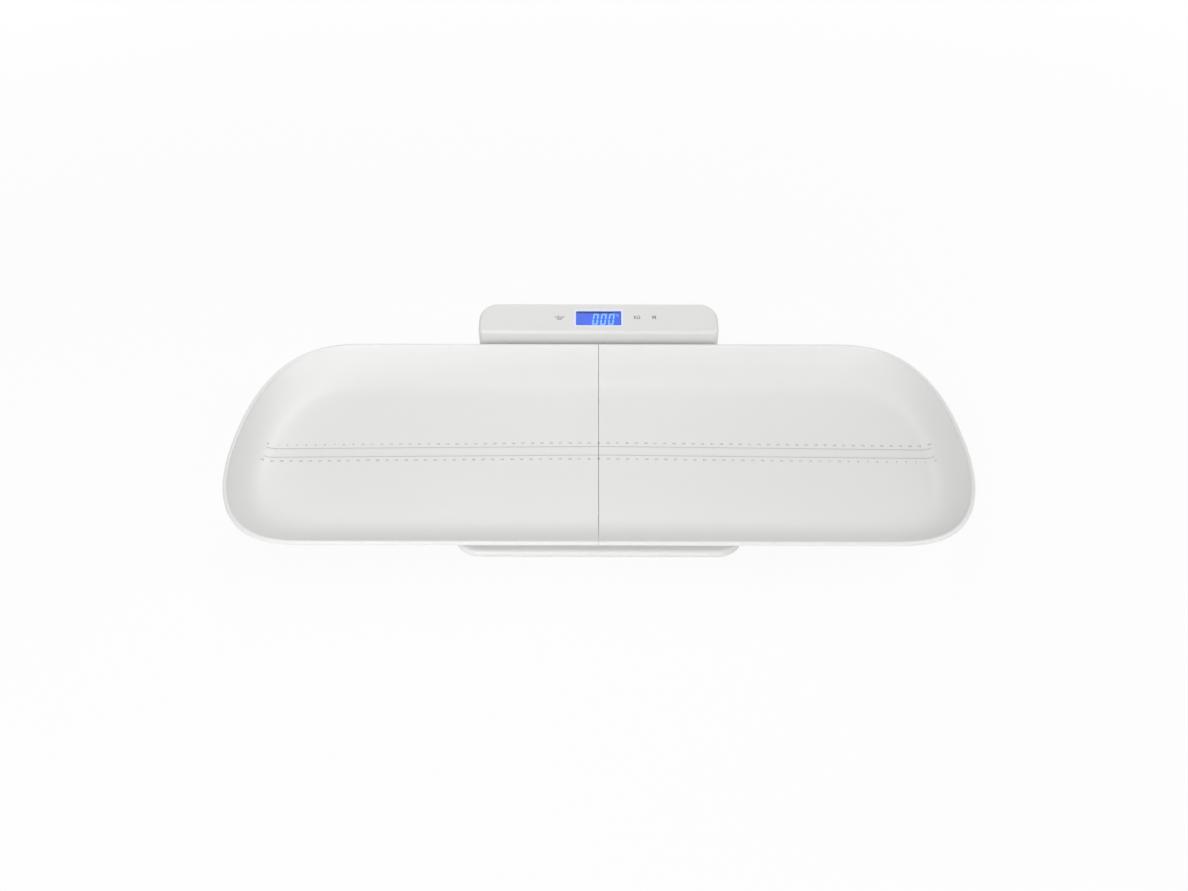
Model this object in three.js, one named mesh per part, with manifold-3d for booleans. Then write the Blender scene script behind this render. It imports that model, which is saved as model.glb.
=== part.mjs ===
// A baby scale with a two-part tray, a round-nosed platform and a rear display console.
// Lengths are in millimetres. +X runs along the tray, +Y goes back to the console, +Z is up.
// The pieces are drawn about the middle of the tray, with the table at z = 0.
import * as THREE from "three";
import { mergeVertices } from "three/addons/utils/BufferGeometryUtils.js";
import Module from "manifold-3d";

// Fits
const FIT = 0.3;
const CUT_OVERRUN = 6;

// Tray
const TRAY_LENGTH = 750;
const TRAY_DEPTH = 322;
const TRAY_EDGE_STRAIGHT = 530;
const TRAY_RIM_RISE = 25;
const TRAY_SLOPE_WIDTH = 54;
const TRAY_END_SLOPE_WIDTH = 29;
const TRAY_FLOOR_FALL = 4.1;
const TRAY_WALL = 3;
const TRAY_LIFT = 5;
const RIM_WIDTH = 4.5;
const RIM_SKIRT = 0.6;
const RIM_SKIRT_WALL = 1.8;
const SEAM_GAP = 0.5;
const TONGUE_WIDTH = 30;
const TONGUE_REACH = 12;
const TONGUE_THICKNESS = 1.8;
const TONGUE_SPACING = 62;
const SOCKET_WALL = 1.4;
const TRAY_RIB_WALL = 2;
const TRAY_RIB_SIDE_MARGIN = 7.5;
const TRAY_RIB_END_MARGIN = 121.5;

// Rails under the tray and their channels in the platform
const RAIL_HOLDER_MARGIN = 2;
const RAIL_START = 20;
const RAIL_END_MARGIN = 8.5;
const RAIL_STEM = 4;
const RAIL_HEAD_WIDTH = 12;
const RAIL_HEAD_THICKNESS = 2.4;
const RAIL_SIDE_CLEARANCE = 0.5;
const CHANNEL_WALL = 1.5;

// Platform
const BASE_WIDTH = 277;
const BASE_FRONT_SETBACK = 20;
const BASE_FRONT_CORNER = 26;
const BASE_REAR_CORNER = 21;
const BASE_LIFT = 5;
const DECK_WALL = 2.5;
const NOSE_RADIUS = 4.2;
const NOSE_WALL = 2.2;
const NOSE_FLANGE = 4;
const PLATFORM_RIB_WALL = 1.5;
const PLATFORM_RIB_HEIGHT = 3.5;
const PLATFORM_RIB_FRONT_MARGIN = 16;
const PLATFORM_RIB_BOX_MARGIN = 20;
const PLATFORM_RIB_END_MARGIN = 33.5;
const DECK_PAD_END_MARGIN = 18.5;
const DECK_PAD_WIDTH = 10;
const DECK_PAD_THICKNESS = 1.2;

// Lower housing
const HOUSING_FLOOR = 3;
const HOUSING_WALL = 2.2;
const HOUSING_UNDERCUT = 11;
const HOUSING_EDGE_BREAK = 2;
const SCREW_BOSS_RADIUS = 4.5;
const SCREW_WELL_RADIUS = 2.8;
const SCREW_WELL_DEPTH = 3.6;
const SCREW_SEAT = 1.6;
const SCREW_FOOT_OFFSET = 50;

// Console
const CONSOLE_GAP = 4.5;
const CONSOLE_DEPTH = 39;
const CONSOLE_RIDGE_HEIGHT = 69.2;
const CONSOLE_FACE_TILT = 20;
const CONSOLE_WALL = 2.5;
const CONSOLE_EDGE_RADIUS = 4;
const CONSOLE_FRONT_CORNER = 6;
const CONSOLE_POST_WIDTH = 9;
const CONSOLE_POST_HEIGHT = 8;
const CONSOLE_POST_DEPTH = 24;

// Display
const WINDOW_WIDTH = 54;
const WINDOW_HEIGHT = 21;
const WINDOW_CENTRE = 20.2;
const WINDOW_CORNER = 1.2;
const LENS_LAP = 1.5;
const LENS_THICKNESS = 1;
const GLASS_WIDTH = 60;
const GLASS_HEIGHT = 25;
const GLASS_THICKNESS = 2;
const BACKLIGHT_WIDTH = 58;
const BACKLIGHT_HEIGHT = 22;
const BACKLIGHT_THICKNESS = 4;
const STRIP_LENGTH = 50;
const STRIP_WIDTH = 1.2;
const DISPLAY_FRAME_WALL = 1.4;
const DISPLAY_DEPTH = 11;

// Keys
const KEY_RADIUS = 6.5;
const KEY_FLANGE_LAP = 1.1;
const KEY_FLANGE = 1.2;
const KEY_STEM_RADIUS = 2;
const KEY_TRAVEL = 0.6;
const SWITCH_SIZE = 6;
const SWITCH_HEIGHT = 3.5;
const PLUNGER_RADIUS = 1.7;
const PLUNGER_STAND = 1.3;
const PLUNGER_HIDDEN = 1.2;
const KEY_WINDOW_MARGIN = 17.6;
const KEY_PITCH = 19.7;

// Circuit board
const BOARD_END_MARGIN = 20;
const BOARD_HEIGHT = 26;
const BOARD_THICKNESS = 1.6;
const BOARD_POST_RADIUS = 2.8;
const BOARD_POST_INSET = 4;
const CHIP_SIZE = 9;
const CHIP_THICKNESS = 1.2;
const CHIP_CENTRE = 30;
const CONNECTOR_LENGTH = 20;
const CONNECTOR_WIDTH = 5;
const CONNECTOR_HEIGHT = 6;
const MODULE_LENGTH = 18;
const MODULE_WIDTH = 13;
const MODULE_THICKNESS = 0.9;
const SHIELD_LENGTH = 12;
const SHIELD_HEIGHT = 1.8;
const MODULE_CENTRE = 50;

// Batteries, battery box and door
const BATTERY_DIAMETER = 10.5;
const BATTERY_LENGTH = 44.5;
const BATTERY_NUB_RADIUS = 2.2;
const BATTERY_NUB_HEIGHT = 0.9;
const BATTERY_COUNT = 3;
const BATTERY_SPACING = 0.7;
const BOX_WALL = 1.1;
const BOX_FLANGE = 2;
const CONTACT_THICKNESS = 0.5;
const CONTACT_WIDTH = 9;
const CONTACT_HEIGHT = 8;
const CONTACT_BUMP_RADIUS = 2.6;
const CONTACT_BUMP_HEIGHT = 1.3;
const DOOR_THICKNESS = 2;
const DOOR_BARREL_RADIUS = 1.3;
const DOOR_PIN_RADIUS = 0.8;
const DOOR_PIN_REACH = 2;
const DOOR_TAB_WIDTH = 12;
const DOOR_TAB_REACH = 3;

// Feet
const FOOT_SIDE_INSET = 40.5;
const FOOT_END_INSET = 41;
const FOOT_PAD_RADIUS = 14;
const FOOT_PAD_THICKNESS = 2;
const FOOT_CUP_RADIUS = 15;
const FOOT_CUP_HEIGHT = 4;
const FOOT_CLEARANCE = 1;
const FOOT_BOSS_RADIUS = 5;
const CELL_SIZE = 34;
const CELL_THICKNESS = 1.3;
const CELL_CORNER = 4;
const CELL_SLOT_WIDTH = 2.4;
const CELL_RIM = 8;
const CELL_CLIP_LIP = 1;
const CELL_CLIP_LENGTH = 12;
const HOLDER_WALL = 2.7;
const HOLDER_CORNER = 5;
const HOLDER_LEDGE = 1.5;

// Screws and leads
const SCREW_SHANK_RADIUS = 1.2;
const SCREW_HEAD_RADIUS = 2.3;
const SCREW_HEAD_HEIGHT = 1.2;
const SCREW_BITE = 5;
const LEAD_RADIUS = 1;
const TRUNK_RADIUS = 2.4;
const HARNESS_LANE_GAP = 6;
const HARNESS_MEET_OFFSET = 40;

// Places worked out from the sizes above
const housingTop = BASE_LIFT + HOUSING_FLOOR;
const batteryCentreZ = housingTop + FIT + BATTERY_DIAMETER / 2;
const boxCeiling = batteryCentreZ + BATTERY_DIAMETER / 2 + FIT;
const deckUnder = boxCeiling + BOX_WALL + FIT;
const deckTop = deckUnder + DECK_WALL;
const noseCentre = deckTop - NOSE_RADIUS;
const noseBottom = deckTop - 2 * NOSE_RADIUS;
const trayUnder = deckTop + TRAY_LIFT;
const floorTop = trayUnder + TRAY_WALL;
const rimTop = floorTop + TRAY_RIM_RISE;
const floorReach = TRAY_DEPTH / 2 - RIM_WIDTH - TRAY_SLOPE_WIDTH;
const trayRibOffset = floorReach - TRAY_RIB_SIDE_MARGIN;
const floorEnd = TRAY_LENGTH / 2 - RIM_WIDTH - TRAY_END_SLOPE_WIDTH;
const trayRibEnd = floorEnd - TRAY_RIB_END_MARGIN;
const railEnd = BASE_WIDTH / 2 - RAIL_END_MARGIN;
const baseFrontReach = TRAY_DEPTH / 2 - BASE_FRONT_SETBACK;
const consoleFront = TRAY_DEPTH / 2 + CONSOLE_GAP;
const consoleBack = consoleFront + CONSOLE_DEPTH;
const tilt = THREE.MathUtils.degToRad(CONSOLE_FACE_TILT);
const boardTop = -DISPLAY_DEPTH;
const boardUnder = boardTop - BOARD_THICKNESS;
const boxWidth = BATTERY_COUNT * (BATTERY_DIAMETER + BATTERY_SPACING);
const contactRoom = CONTACT_THICKNESS + CONTACT_BUMP_HEIGHT + 2 * FIT;
const boxLength = BATTERY_LENGTH + 2 * contactRoom;
const cellBottom = housingTop + CELL_CLIP_LIP + 2 * FIT;
const cellTop = cellBottom + CELL_THICKNESS;
const holderSize = CELL_SIZE + 2 * (FIT + HOLDER_WALL);
const holderBoreRadius = CELL_SIZE / 2 - HOLDER_LEDGE;
const cellSlotSpan = CELL_SIZE - 2 * CELL_RIM;
const boltOverlap = FIT + SCREW_BITE;
const channelBottom = deckUnder - RAIL_HEAD_THICKNESS - 2 * FIT;
const housingRim = channelBottom - CHANNEL_WALL - FIT;
const housingInset = NOSE_RADIUS + NOSE_FLANGE + FIT;

const keyReach = WINDOW_WIDTH / 2 + KEY_WINDOW_MARGIN;
const keys = [
  { name: "tare", x: -keyReach },
  { name: "unit", x: keyReach },
  { name: "hold", x: keyReach + KEY_PITCH },
];
const boardLeft = keyReach + BOARD_END_MARGIN;
const boardRight = keyReach + KEY_PITCH + BOARD_END_MARGIN;
const footX = BASE_WIDTH / 2 - FOOT_SIDE_INSET;
const footFront = FOOT_END_INSET - baseFrontReach;
const footRear = consoleBack - FOOT_END_INSET;
const channelCavity = RAIL_HEAD_WIDTH + 2 * RAIL_SIDE_CLEARANCE;
const channelHalf = channelCavity / 2 + CHANNEL_WALL;
const railOffset = -footFront - holderSize / 2 - channelHalf - RAIL_HOLDER_MARGIN;
const screwX = footX - SCREW_FOOT_OFFSET;

const housingScrewPlaces = [-1, 1].map((side) => ({
  name: side < 0 ? "front_left" : "front_right",
  x: side * screwX,
  y: footFront,
}));
const consoleScrewPlaces = [-1, 1].map((side) => ({
  name: side < 0 ? "rear_left" : "rear_right",
  x: side * screwX,
  y: consoleBack - CONSOLE_POST_DEPTH - FIT,
}));
const feet = [
  { name: "front_left", x: -footX, y: footFront },
  { name: "front_right", x: footX, y: footFront },
  { name: "rear_left", x: -footX, y: footRear },
  { name: "rear_right", x: footX, y: footRear },
];

// Counts of steps round curves
const CORNER_STEPS = 6;
const TRAY_CORNER_STEPS = 12;
const ROUND_STEPS = 24;
const SMALL_ROUND_STEPS = 10;
const LEAD_STEPS = 10;
const LEAD_SIDES = 6;
const ARC_STEPS = 4;

// How full the tray's ends and corners are, as powers of a superellipse
const END_FULLNESS = 2.9;
const CORNER_FULLNESS = 2.3;

// How far down the tray's inner slope each ring of points lies
const slopeShares = [0, 0.12, 0.27, 0.46, 0.7, 1];

const wasm = await Module();
wasm.setup();

// Solids

function toSolid(geometry) {
  const bare = geometry.index ? geometry.toNonIndexed() : geometry.clone();
  bare.deleteAttribute("normal");
  bare.deleteAttribute("uv");
  const merged = mergeVertices(bare, 1e-4);
  const mesh = new wasm.Mesh({
    numProp: 3,
    vertProperties: new Float32Array(merged.attributes.position.array),
    triVerts: new Uint32Array(merged.index.array),
  });
  return new wasm.Manifold(mesh);
}

function toGeometry(solid) {
  const mesh = solid.getMesh();
  const geometry = new THREE.BufferGeometry();
  geometry.setAttribute("position", new THREE.BufferAttribute(mesh.vertProperties, 3));
  geometry.setIndex(new THREE.BufferAttribute(mesh.triVerts, 1));
  return geometry;
}

// A box between two values on each axis.
function block([x0, x1], [y0, y1], [z0, z1]) {
  const geometry = new THREE.BoxGeometry(x1 - x0, y1 - y0, z1 - z0);
  geometry.translate((x0 + x1) / 2, (y0 + y1) / 2, (z0 + z1) / 2);
  return toSolid(geometry);
}

// The two values that lie a half width either side of a middle.
function about(middle, width) {
  return [middle - width / 2, middle + width / 2];
}

// An upright cylinder.
function disc(radius, [z0, z1], x = 0, y = 0, steps = ROUND_STEPS) {
  const geometry = new THREE.CylinderGeometry(radius, radius, z1 - z0, steps);
  geometry.rotateX(Math.PI / 2);
  geometry.translate(x, y, (z0 + z1) / 2);
  return toSolid(geometry);
}

// A cylinder that lies along X.
function rod(radius, [x0, x1], y, z, steps = SMALL_ROUND_STEPS) {
  const geometry = new THREE.CylinderGeometry(radius, radius, x1 - x0, steps);
  geometry.rotateZ(Math.PI / 2);
  geometry.translate((x0 + x1) / 2, y, z);
  return toSolid(geometry);
}

function joined(solids) {
  return solids.reduce((whole, next) => whole.add(next));
}

function less(solid, cuts) {
  return cuts.reduce((rest, cut) => rest.subtract(cut), solid);
}

// A rectangle with round corners, counter-clockwise, pulled in by an inset.
function roundedOutline([x0, x1], [y0, y1], frontRadius, rearRadius, inset = 0) {
  const points = [];
  const corners = [
    { x: x1, y: y0, sx: -1, sy: 1, radius: frontRadius, from: -0.5 },
    { x: x1, y: y1, sx: -1, sy: -1, radius: rearRadius, from: 0 },
    { x: x0, y: y1, sx: 1, sy: -1, radius: rearRadius, from: 0.5 },
    { x: x0, y: y0, sx: 1, sy: 1, radius: frontRadius, from: 1 },
  ];
  for (const corner of corners) {
    const cx = corner.x + corner.sx * corner.radius;
    const cy = corner.y + corner.sy * corner.radius;
    for (let step = 0; step <= CORNER_STEPS; step += 1) {
      const angle = Math.PI * (corner.from + step / CORNER_STEPS / 2);
      const reach = corner.radius - inset;
      points.push(new THREE.Vector2(cx + reach * Math.cos(angle), cy + reach * Math.sin(angle)));
    }
  }
  return points;
}

// A closed solid through rings of as many points each, with flat caps on the first and last.
function loftSolid(rings) {
  const count = rings[0].length;
  const positions = rings.flat().flatMap((point) => [point.x, point.y, point.z]);
  const index = [];
  for (let level = 0; level + 1 < rings.length; level += 1) {
    for (let i = 0; i < count; i += 1) {
      const a = level * count + i;
      const b = level * count + (i + 1) % count;
      index.push(a, b, b + count, a, b + count, a + count);
    }
  }
  const last = (rings.length - 1) * count;
  for (const [p, q, r] of THREE.ShapeUtils.triangulateShape(rings[0], [])) {
    index.push(r, q, p);
  }
  for (const [p, q, r] of THREE.ShapeUtils.triangulateShape(rings[rings.length - 1], [])) {
    index.push(last + p, last + q, last + r);
  }
  const geometry = new THREE.BufferGeometry();
  geometry.setAttribute("position", new THREE.Float32BufferAttribute(positions, 3));
  geometry.setIndex(index);
  return toSolid(geometry);
}

// A closed solid through level rings, each an outline and its height.
function ringSolid(rings) {
  return loftSolid(rings.map(({ points, z }) => points.map((p) => new THREE.Vector3(p.x, p.y, z))));
}

// A flat outline pulled up between two heights.
function slab(points, [z0, z1], holes = []) {
  const shape = new THREE.Shape(points);
  shape.holes = holes.map((hole) => new THREE.Path(hole));
  const geometry = new THREE.ExtrudeGeometry(shape, { depth: z1 - z0, bevelEnabled: false });
  geometry.translate(0, 0, z0);
  return toSolid(geometry);
}

// A pan-head screw, head at the given height and shank pointing up.
function screw(x, y, headTop, shank) {
  const profile = [
    new THREE.Vector2(0, -SCREW_HEAD_HEIGHT),
    new THREE.Vector2(SCREW_HEAD_RADIUS / 2, -SCREW_HEAD_HEIGHT),
    new THREE.Vector2(SCREW_HEAD_RADIUS, -SCREW_HEAD_HEIGHT / 2),
    new THREE.Vector2(SCREW_HEAD_RADIUS, 0),
    new THREE.Vector2(SCREW_SHANK_RADIUS, 0),
    new THREE.Vector2(SCREW_SHANK_RADIUS, shank - SCREW_SHANK_RADIUS),
    new THREE.Vector2(0, shank),
  ];
  const geometry = new THREE.LatheGeometry(profile, SMALL_ROUND_STEPS);
  geometry.rotateX(Math.PI / 2);
  geometry.translate(x, y, headTop);
  return toSolid(geometry);
}

// A round lead through a list of points.
function lead(points, radius) {
  const path = new THREE.CatmullRomCurve3(points);
  const section = new THREE.Shape(ringOf(radius, LEAD_SIDES));
  const geometry = new THREE.ExtrudeGeometry(section, {
    steps: LEAD_STEPS,
    bevelEnabled: false,
    extrudePath: path,
  });
  return toSolid(geometry);
}

function ringOf(radius, steps, x = 0, y = 0) {
  const points = [];
  for (let i = 0; i < steps; i += 1) {
    const angle = 2 * Math.PI * i / steps;
    points.push(new THREE.Vector2(x + radius * Math.cos(angle), y + radius * Math.sin(angle)));
  }
  return points;
}

// Materials

function finish(color, roughness, metalness = 0) {
  return new THREE.MeshStandardMaterial({ color, roughness, metalness });
}

const white = finish(0xeeeeec, 0.25);
const innerWhite = finish(0xdcdcd8, 0.5);
const keyWhite = finish(0xe8e8e6, 0.3);
const clear = finish(0xbcd0f0, 0.05);
const blueGlass = finish(0x2f55d8, 0.15);
const backlightBlue = finish(0x5c8cff, 0.4);
const rubber = finish(0x8c8e90, 0.85);
const darkRubber = finish(0x2a2b2d, 0.8);
const boardGreen = finish(0x1f6b3a, 0.5);
const black = finish(0x202124, 0.45);
const steel = finish(0xb8bcc0, 0.3, 1);
const tin = finish(0xd2d4d4, 0.25, 1);
const batterySleeve = finish(0x3f6f9c, 0.35);

const scale = new THREE.Group();
const consoleFace = new THREE.Group();
consoleFace.position.set(0, consoleFront, CONSOLE_RIDGE_HEIGHT);
consoleFace.rotation.x = tilt;
scale.add(consoleFace);

function place(parent, name, solid, material) {
  const geometry = toGeometry(solid);
  geometry.computeVertexNormals();
  const mesh = new THREE.Mesh(geometry, material);
  mesh.name = name;
  parent.add(mesh);
}

// A point given along the console's face, up its slope and out of it, in the scale's own frame.
function onFace(x, up, out) {
  consoleFace.updateMatrix();
  return new THREE.Vector3(x, up, out).applyMatrix4(consoleFace.matrix);
}

// Tray

// The tray's section where its inner slope has a given width, as insets from the rim's outside
// and heights, from floor to rim to underside.
function traySection(slopeWidth) {
  const crown = RIM_WIDTH / 2;
  const crownHeight = rimTop - crown;
  const fall = crownHeight - floorTop;
  const inside = slopeShares.map((share) => ({
    inset: RIM_WIDTH + share * slopeWidth,
    z: floorTop + fall * (1 - share) ** 2,
    slope: 2 * fall / slopeWidth * (1 - share),
  }));
  const outside = inside.map((point) => {
    const length = Math.hypot(1, point.slope);
    return {
      inset: point.inset - TRAY_WALL * point.slope / length,
      z: point.z - TRAY_WALL / length,
    };
  });
  const section = inside.slice().reverse();
  for (let step = 1; step <= ARC_STEPS; step += 1) {
    const angle = Math.PI * step / ARC_STEPS;
    section.push({ inset: crown + crown * Math.cos(angle), z: crownHeight + crown * Math.sin(angle) });
  }
  section.push({ inset: 0, z: crownHeight - RIM_SKIRT });
  section.push({ inset: RIM_SKIRT_WALL, z: crownHeight - RIM_SKIRT });
  section.push(...outside);
  return section;
}

// The tray's sections round a quarter of its plan, from the middle of its end to its straight edge.
// The plan has straight long edges and full, rounded ends, and its inner slope is steeper there.
function trayQuarter() {
  const straight = TRAY_EDGE_STRAIGHT / 2;
  const sections = [];
  for (let step = 0; step <= TRAY_CORNER_STEPS; step += 1) {
    const angle = Math.PI / 2 * step / TRAY_CORNER_STEPS;
    const sideShare = Math.sin(angle) ** 2;
    const slopeWidth = THREE.MathUtils.lerp(TRAY_END_SLOPE_WIDTH, TRAY_SLOPE_WIDTH, sideShare);
    sections.push(traySection(slopeWidth).map(({ inset, z }) => new THREE.Vector3(
      straight + (TRAY_LENGTH / 2 - inset - straight) * Math.cos(angle) ** (2 / END_FULLNESS),
      (TRAY_DEPTH / 2 - inset) * Math.sin(angle) ** (2 / CORNER_FULLNESS),
      z,
    )));
  }
  return sections;
}

function trayShell() {
  const quarter = trayQuarter();
  const mirrored = (x, y) => quarter.map((section) => (
    section.map((p) => new THREE.Vector3(x * p.x, y * p.y, p.z))
  ));
  const round = [
    ...mirrored(1, 1),
    ...mirrored(-1, 1).reverse(),
    ...mirrored(-1, -1).slice(1),
    ...mirrored(1, -1).reverse().slice(0, -1),
  ];
  const rings = round[0].map((_, level) => round.map((section) => section[level]));
  return loftSolid(rings.reverse());
}

// Lets a half's floor fall from the seam to its end, while its rim stays level.
function letFloorFall(solid, from) {
  const slope = TRAY_FLOOR_FALL / floorEnd;
  const rise = rimTop - floorTop;
  return solid.warp((vertex) => {
    if (vertex[2] > from) {
      vertex[2] -= slope * Math.abs(vertex[0]) * (rimTop - vertex[2]) / rise;
    }
  });
}

// Two T-shaped rails and the ribs that bear on the deck pads, with their roots in the floor.
function trayRunners(side) {
  const across = (a, b) => (side > 0 ? [a, b] : [-b, -a]);
  const headTop = deckUnder - FIT;
  const parts = [];
  for (const row of [-1, 1]) {
    const y = row * railOffset;
    parts.push(block(across(RAIL_START, railEnd), about(y, RAIL_STEM), [headTop - FIT, trayUnder + FIT]));
    parts.push(block(
      across(RAIL_START, railEnd),
      about(y, RAIL_HEAD_WIDTH),
      [headTop - RAIL_HEAD_THICKNESS, headTop],
    ));
    parts.push(block(
      across(RAIL_START, trayRibEnd),
      about(row * trayRibOffset, TRAY_RIB_WALL),
      [deckTop + DECK_PAD_THICKNESS + 2 * FIT, trayUnder + FIT],
    ));
  }
  return parts.map((part) => letFloorFall(part, trayUnder));
}

const tongueTop = trayUnder - FIT;
const tongueRows = [-TONGUE_SPACING / 2, TONGUE_SPACING / 2];

// Flat tongues that reach from the left half under the right one.
function seamTongues() {
  return tongueRows.flatMap((y) => [
    block([-TONGUE_REACH, TONGUE_REACH], about(y, TONGUE_WIDTH), [tongueTop - TONGUE_THICKNESS, tongueTop]),
    block([-TONGUE_REACH, -SEAM_GAP], about(y, TONGUE_WIDTH), [tongueTop - FIT, trayUnder + FIT]),
  ]);
}

// The staples under the right half that take the tongues.
function seamSockets() {
  const socketTop = trayUnder + FIT;
  const bridgeTop = tongueTop - TONGUE_THICKNESS - FIT;
  const bridgeBottom = bridgeTop - SOCKET_WALL;
  return tongueRows.flatMap((y) => {
    const inner = TONGUE_WIDTH + 2 * RAIL_SIDE_CLEARANCE;
    const outer = inner + 2 * SOCKET_WALL;
    const reach = [SEAM_GAP, TONGUE_REACH];
    return [
      block(reach, about(y, outer), [bridgeBottom, bridgeTop]),
      block(reach, [y - outer / 2, y - inner / 2], [bridgeBottom, socketTop]),
      block(reach, [y + inner / 2, y + outer / 2], [bridgeBottom, socketTop]),
    ];
  });
}

function makeTray() {
  const shell = trayShell();
  const reach = [-TRAY_DEPTH, TRAY_DEPTH];
  const height = [0, rimTop + CUT_OVERRUN];
  const halves = [[-TRAY_LENGTH, -SEAM_GAP / 2], [SEAM_GAP / 2, TRAY_LENGTH]].map((across) => (
    letFloorFall(shell.intersect(block(across, reach, height)), 0)
  ));
  place(scale, "tray_left", joined([halves[0], ...trayRunners(-1), ...seamTongues()]), white);
  place(scale, "tray_right", joined([halves[1], ...trayRunners(1), ...seamSockets()]), white);
}

// Platform

function baseOutline(inset) {
  return roundedOutline(
    about(0, BASE_WIDTH),
    [-baseFrontReach, consoleBack],
    BASE_FRONT_CORNER,
    BASE_REAR_CORNER,
    inset,
  );
}

// The platform's shell: flat deck, round nose and the flange that turns in under it.
function platformShell() {
  const section = [{ inset: NOSE_RADIUS, z: deckTop }];
  for (let step = 1; step <= 2 * ARC_STEPS; step += 1) {
    const angle = Math.PI / 2 + Math.PI * step / (2 * ARC_STEPS);
    section.push({
      inset: NOSE_RADIUS + NOSE_RADIUS * Math.cos(angle),
      z: noseCentre + NOSE_RADIUS * Math.sin(angle),
    });
  }
  section.push({ inset: NOSE_RADIUS + NOSE_FLANGE, z: noseBottom });
  section.push({ inset: NOSE_RADIUS + NOSE_FLANGE, z: noseBottom + NOSE_WALL });
  const innerRadius = NOSE_RADIUS - NOSE_WALL;
  for (let step = ARC_STEPS; step >= 0; step -= 1) {
    const angle = Math.PI / 2 + Math.PI * step / ARC_STEPS;
    const z = noseCentre + innerRadius * Math.sin(angle);
    section.push({ inset: NOSE_RADIUS + innerRadius * Math.cos(angle), z: Math.min(z, deckUnder) });
  }
  section.push({ inset: NOSE_RADIUS + NOSE_FLANGE, z: deckUnder });
  const rings = section.map(({ inset, z }) => ({ points: baseOutline(inset), z }));
  return ringSolid(rings.reverse());
}

// The T-shaped channels that open at the platform's sides.
function channelBodies() {
  return eachChannel((across, y) => block(
    across(RAIL_START - FIT - CHANNEL_WALL, BASE_WIDTH / 2 - NOSE_RADIUS),
    about(y, 2 * channelHalf),
    [channelBottom - CHANNEL_WALL, deckUnder + FIT],
  ));
}

function channelCuts() {
  const reach = BASE_WIDTH / 2 + CUT_OVERRUN;
  const necks = eachChannel((across, y) => block(
    across(RAIL_START - FIT, reach),
    about(y, RAIL_STEM + 2 * RAIL_SIDE_CLEARANCE),
    [channelBottom, deckTop + CUT_OVERRUN],
  ));
  const cavities = eachChannel((across, y) => block(
    across(RAIL_START - FIT, reach),
    about(y, channelCavity),
    [channelBottom, deckUnder],
  ));
  return [...necks, ...cavities];
}

function eachChannel(make) {
  const made = [];
  for (const side of [-1, 1]) {
    const across = (a, b) => (side > 0 ? [a, b] : [-b, -a]);
    for (const row of [-1, 1]) {
      made.push(make(across, row * railOffset));
    }
  }
  return made;
}

function platformRibs() {
  const height = [deckUnder - PLATFORM_RIB_HEIGHT, deckUnder + FIT];
  const outerOffset = baseFrontReach - PLATFORM_RIB_FRONT_MARGIN;
  const innerOffset = boxLength / 2 + BOX_WALL + BOX_FLANGE + PLATFORM_RIB_BOX_MARGIN;
  return [outerOffset, innerOffset].flatMap((offset) => [-1, 1].map((row) => block(
    about(0, BASE_WIDTH - 2 * PLATFORM_RIB_END_MARGIN),
    about(row * offset, PLATFORM_RIB_WALL),
    height,
  )));
}

const postBottom = BASE_LIFT + SCREW_WELL_DEPTH + SCREW_SEAT + FIT;

function pilotCuts(places) {
  return places.map(({ x, y }) => disc(
    SCREW_SHANK_RADIUS + FIT,
    [postBottom - CUT_OVERRUN, postBottom + SCREW_BITE + 2 * FIT],
    x,
    y,
    SMALL_ROUND_STEPS,
  ));
}

function makePlatform() {
  const posts = housingScrewPlaces.map(({ x, y }) => disc(
    SCREW_BOSS_RADIUS,
    [postBottom, deckUnder + FIT],
    x,
    y,
    SMALL_ROUND_STEPS,
  ));
  const whole = joined([platformShell(), ...channelBodies(), ...platformRibs(), ...posts]);
  const behindDeck = block(
    about(0, 2 * BASE_WIDTH),
    [consoleFront - FIT, consoleBack + CUT_OVERRUN],
    [0, rimTop],
  );
  const cover = less(whole, [behindDeck, ...channelCuts(), ...pilotCuts(housingScrewPlaces)]);
  place(scale, "platform_cover", cover, white);
}

function makeDeckPads() {
  for (const [name, row] of [["deck_pad_front", -1], ["deck_pad_rear", 1]]) {
    const pad = block(
      about(0, BASE_WIDTH - 2 * DECK_PAD_END_MARGIN),
      about(row * trayRibOffset, DECK_PAD_WIDTH),
      [deckTop + FIT, deckTop + FIT + DECK_PAD_THICKNESS],
    );
    place(scale, name, pad, rubber);
  }
}

// Lower housing

const doorWidth = boxWidth;
const doorLength = boxLength;
const hingeY = doorLength / 2 - DOOR_BARREL_RADIUS - FIT;
const hingeZ = BASE_LIFT + HOUSING_FLOOR / 2;

function housingShell() {
  const slopeBottom = BASE_LIFT + HOUSING_EDGE_BREAK;
  const outer = [
    { inset: housingInset + HOUSING_UNDERCUT, z: BASE_LIFT },
    { inset: housingInset + HOUSING_UNDERCUT - HOUSING_EDGE_BREAK, z: slopeBottom },
    { inset: housingInset, z: noseBottom },
    { inset: housingInset, z: housingRim },
  ];
  const inner = [
    { inset: housingInset + HOUSING_WALL, z: housingRim },
    { inset: housingInset + HOUSING_WALL, z: noseBottom },
    { inset: housingInset + HOUSING_UNDERCUT, z: housingTop },
  ];
  const rings = [...outer, ...inner].map(({ inset, z }) => ({ points: baseOutline(inset), z }));
  return ringSolid(rings);
}

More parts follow.
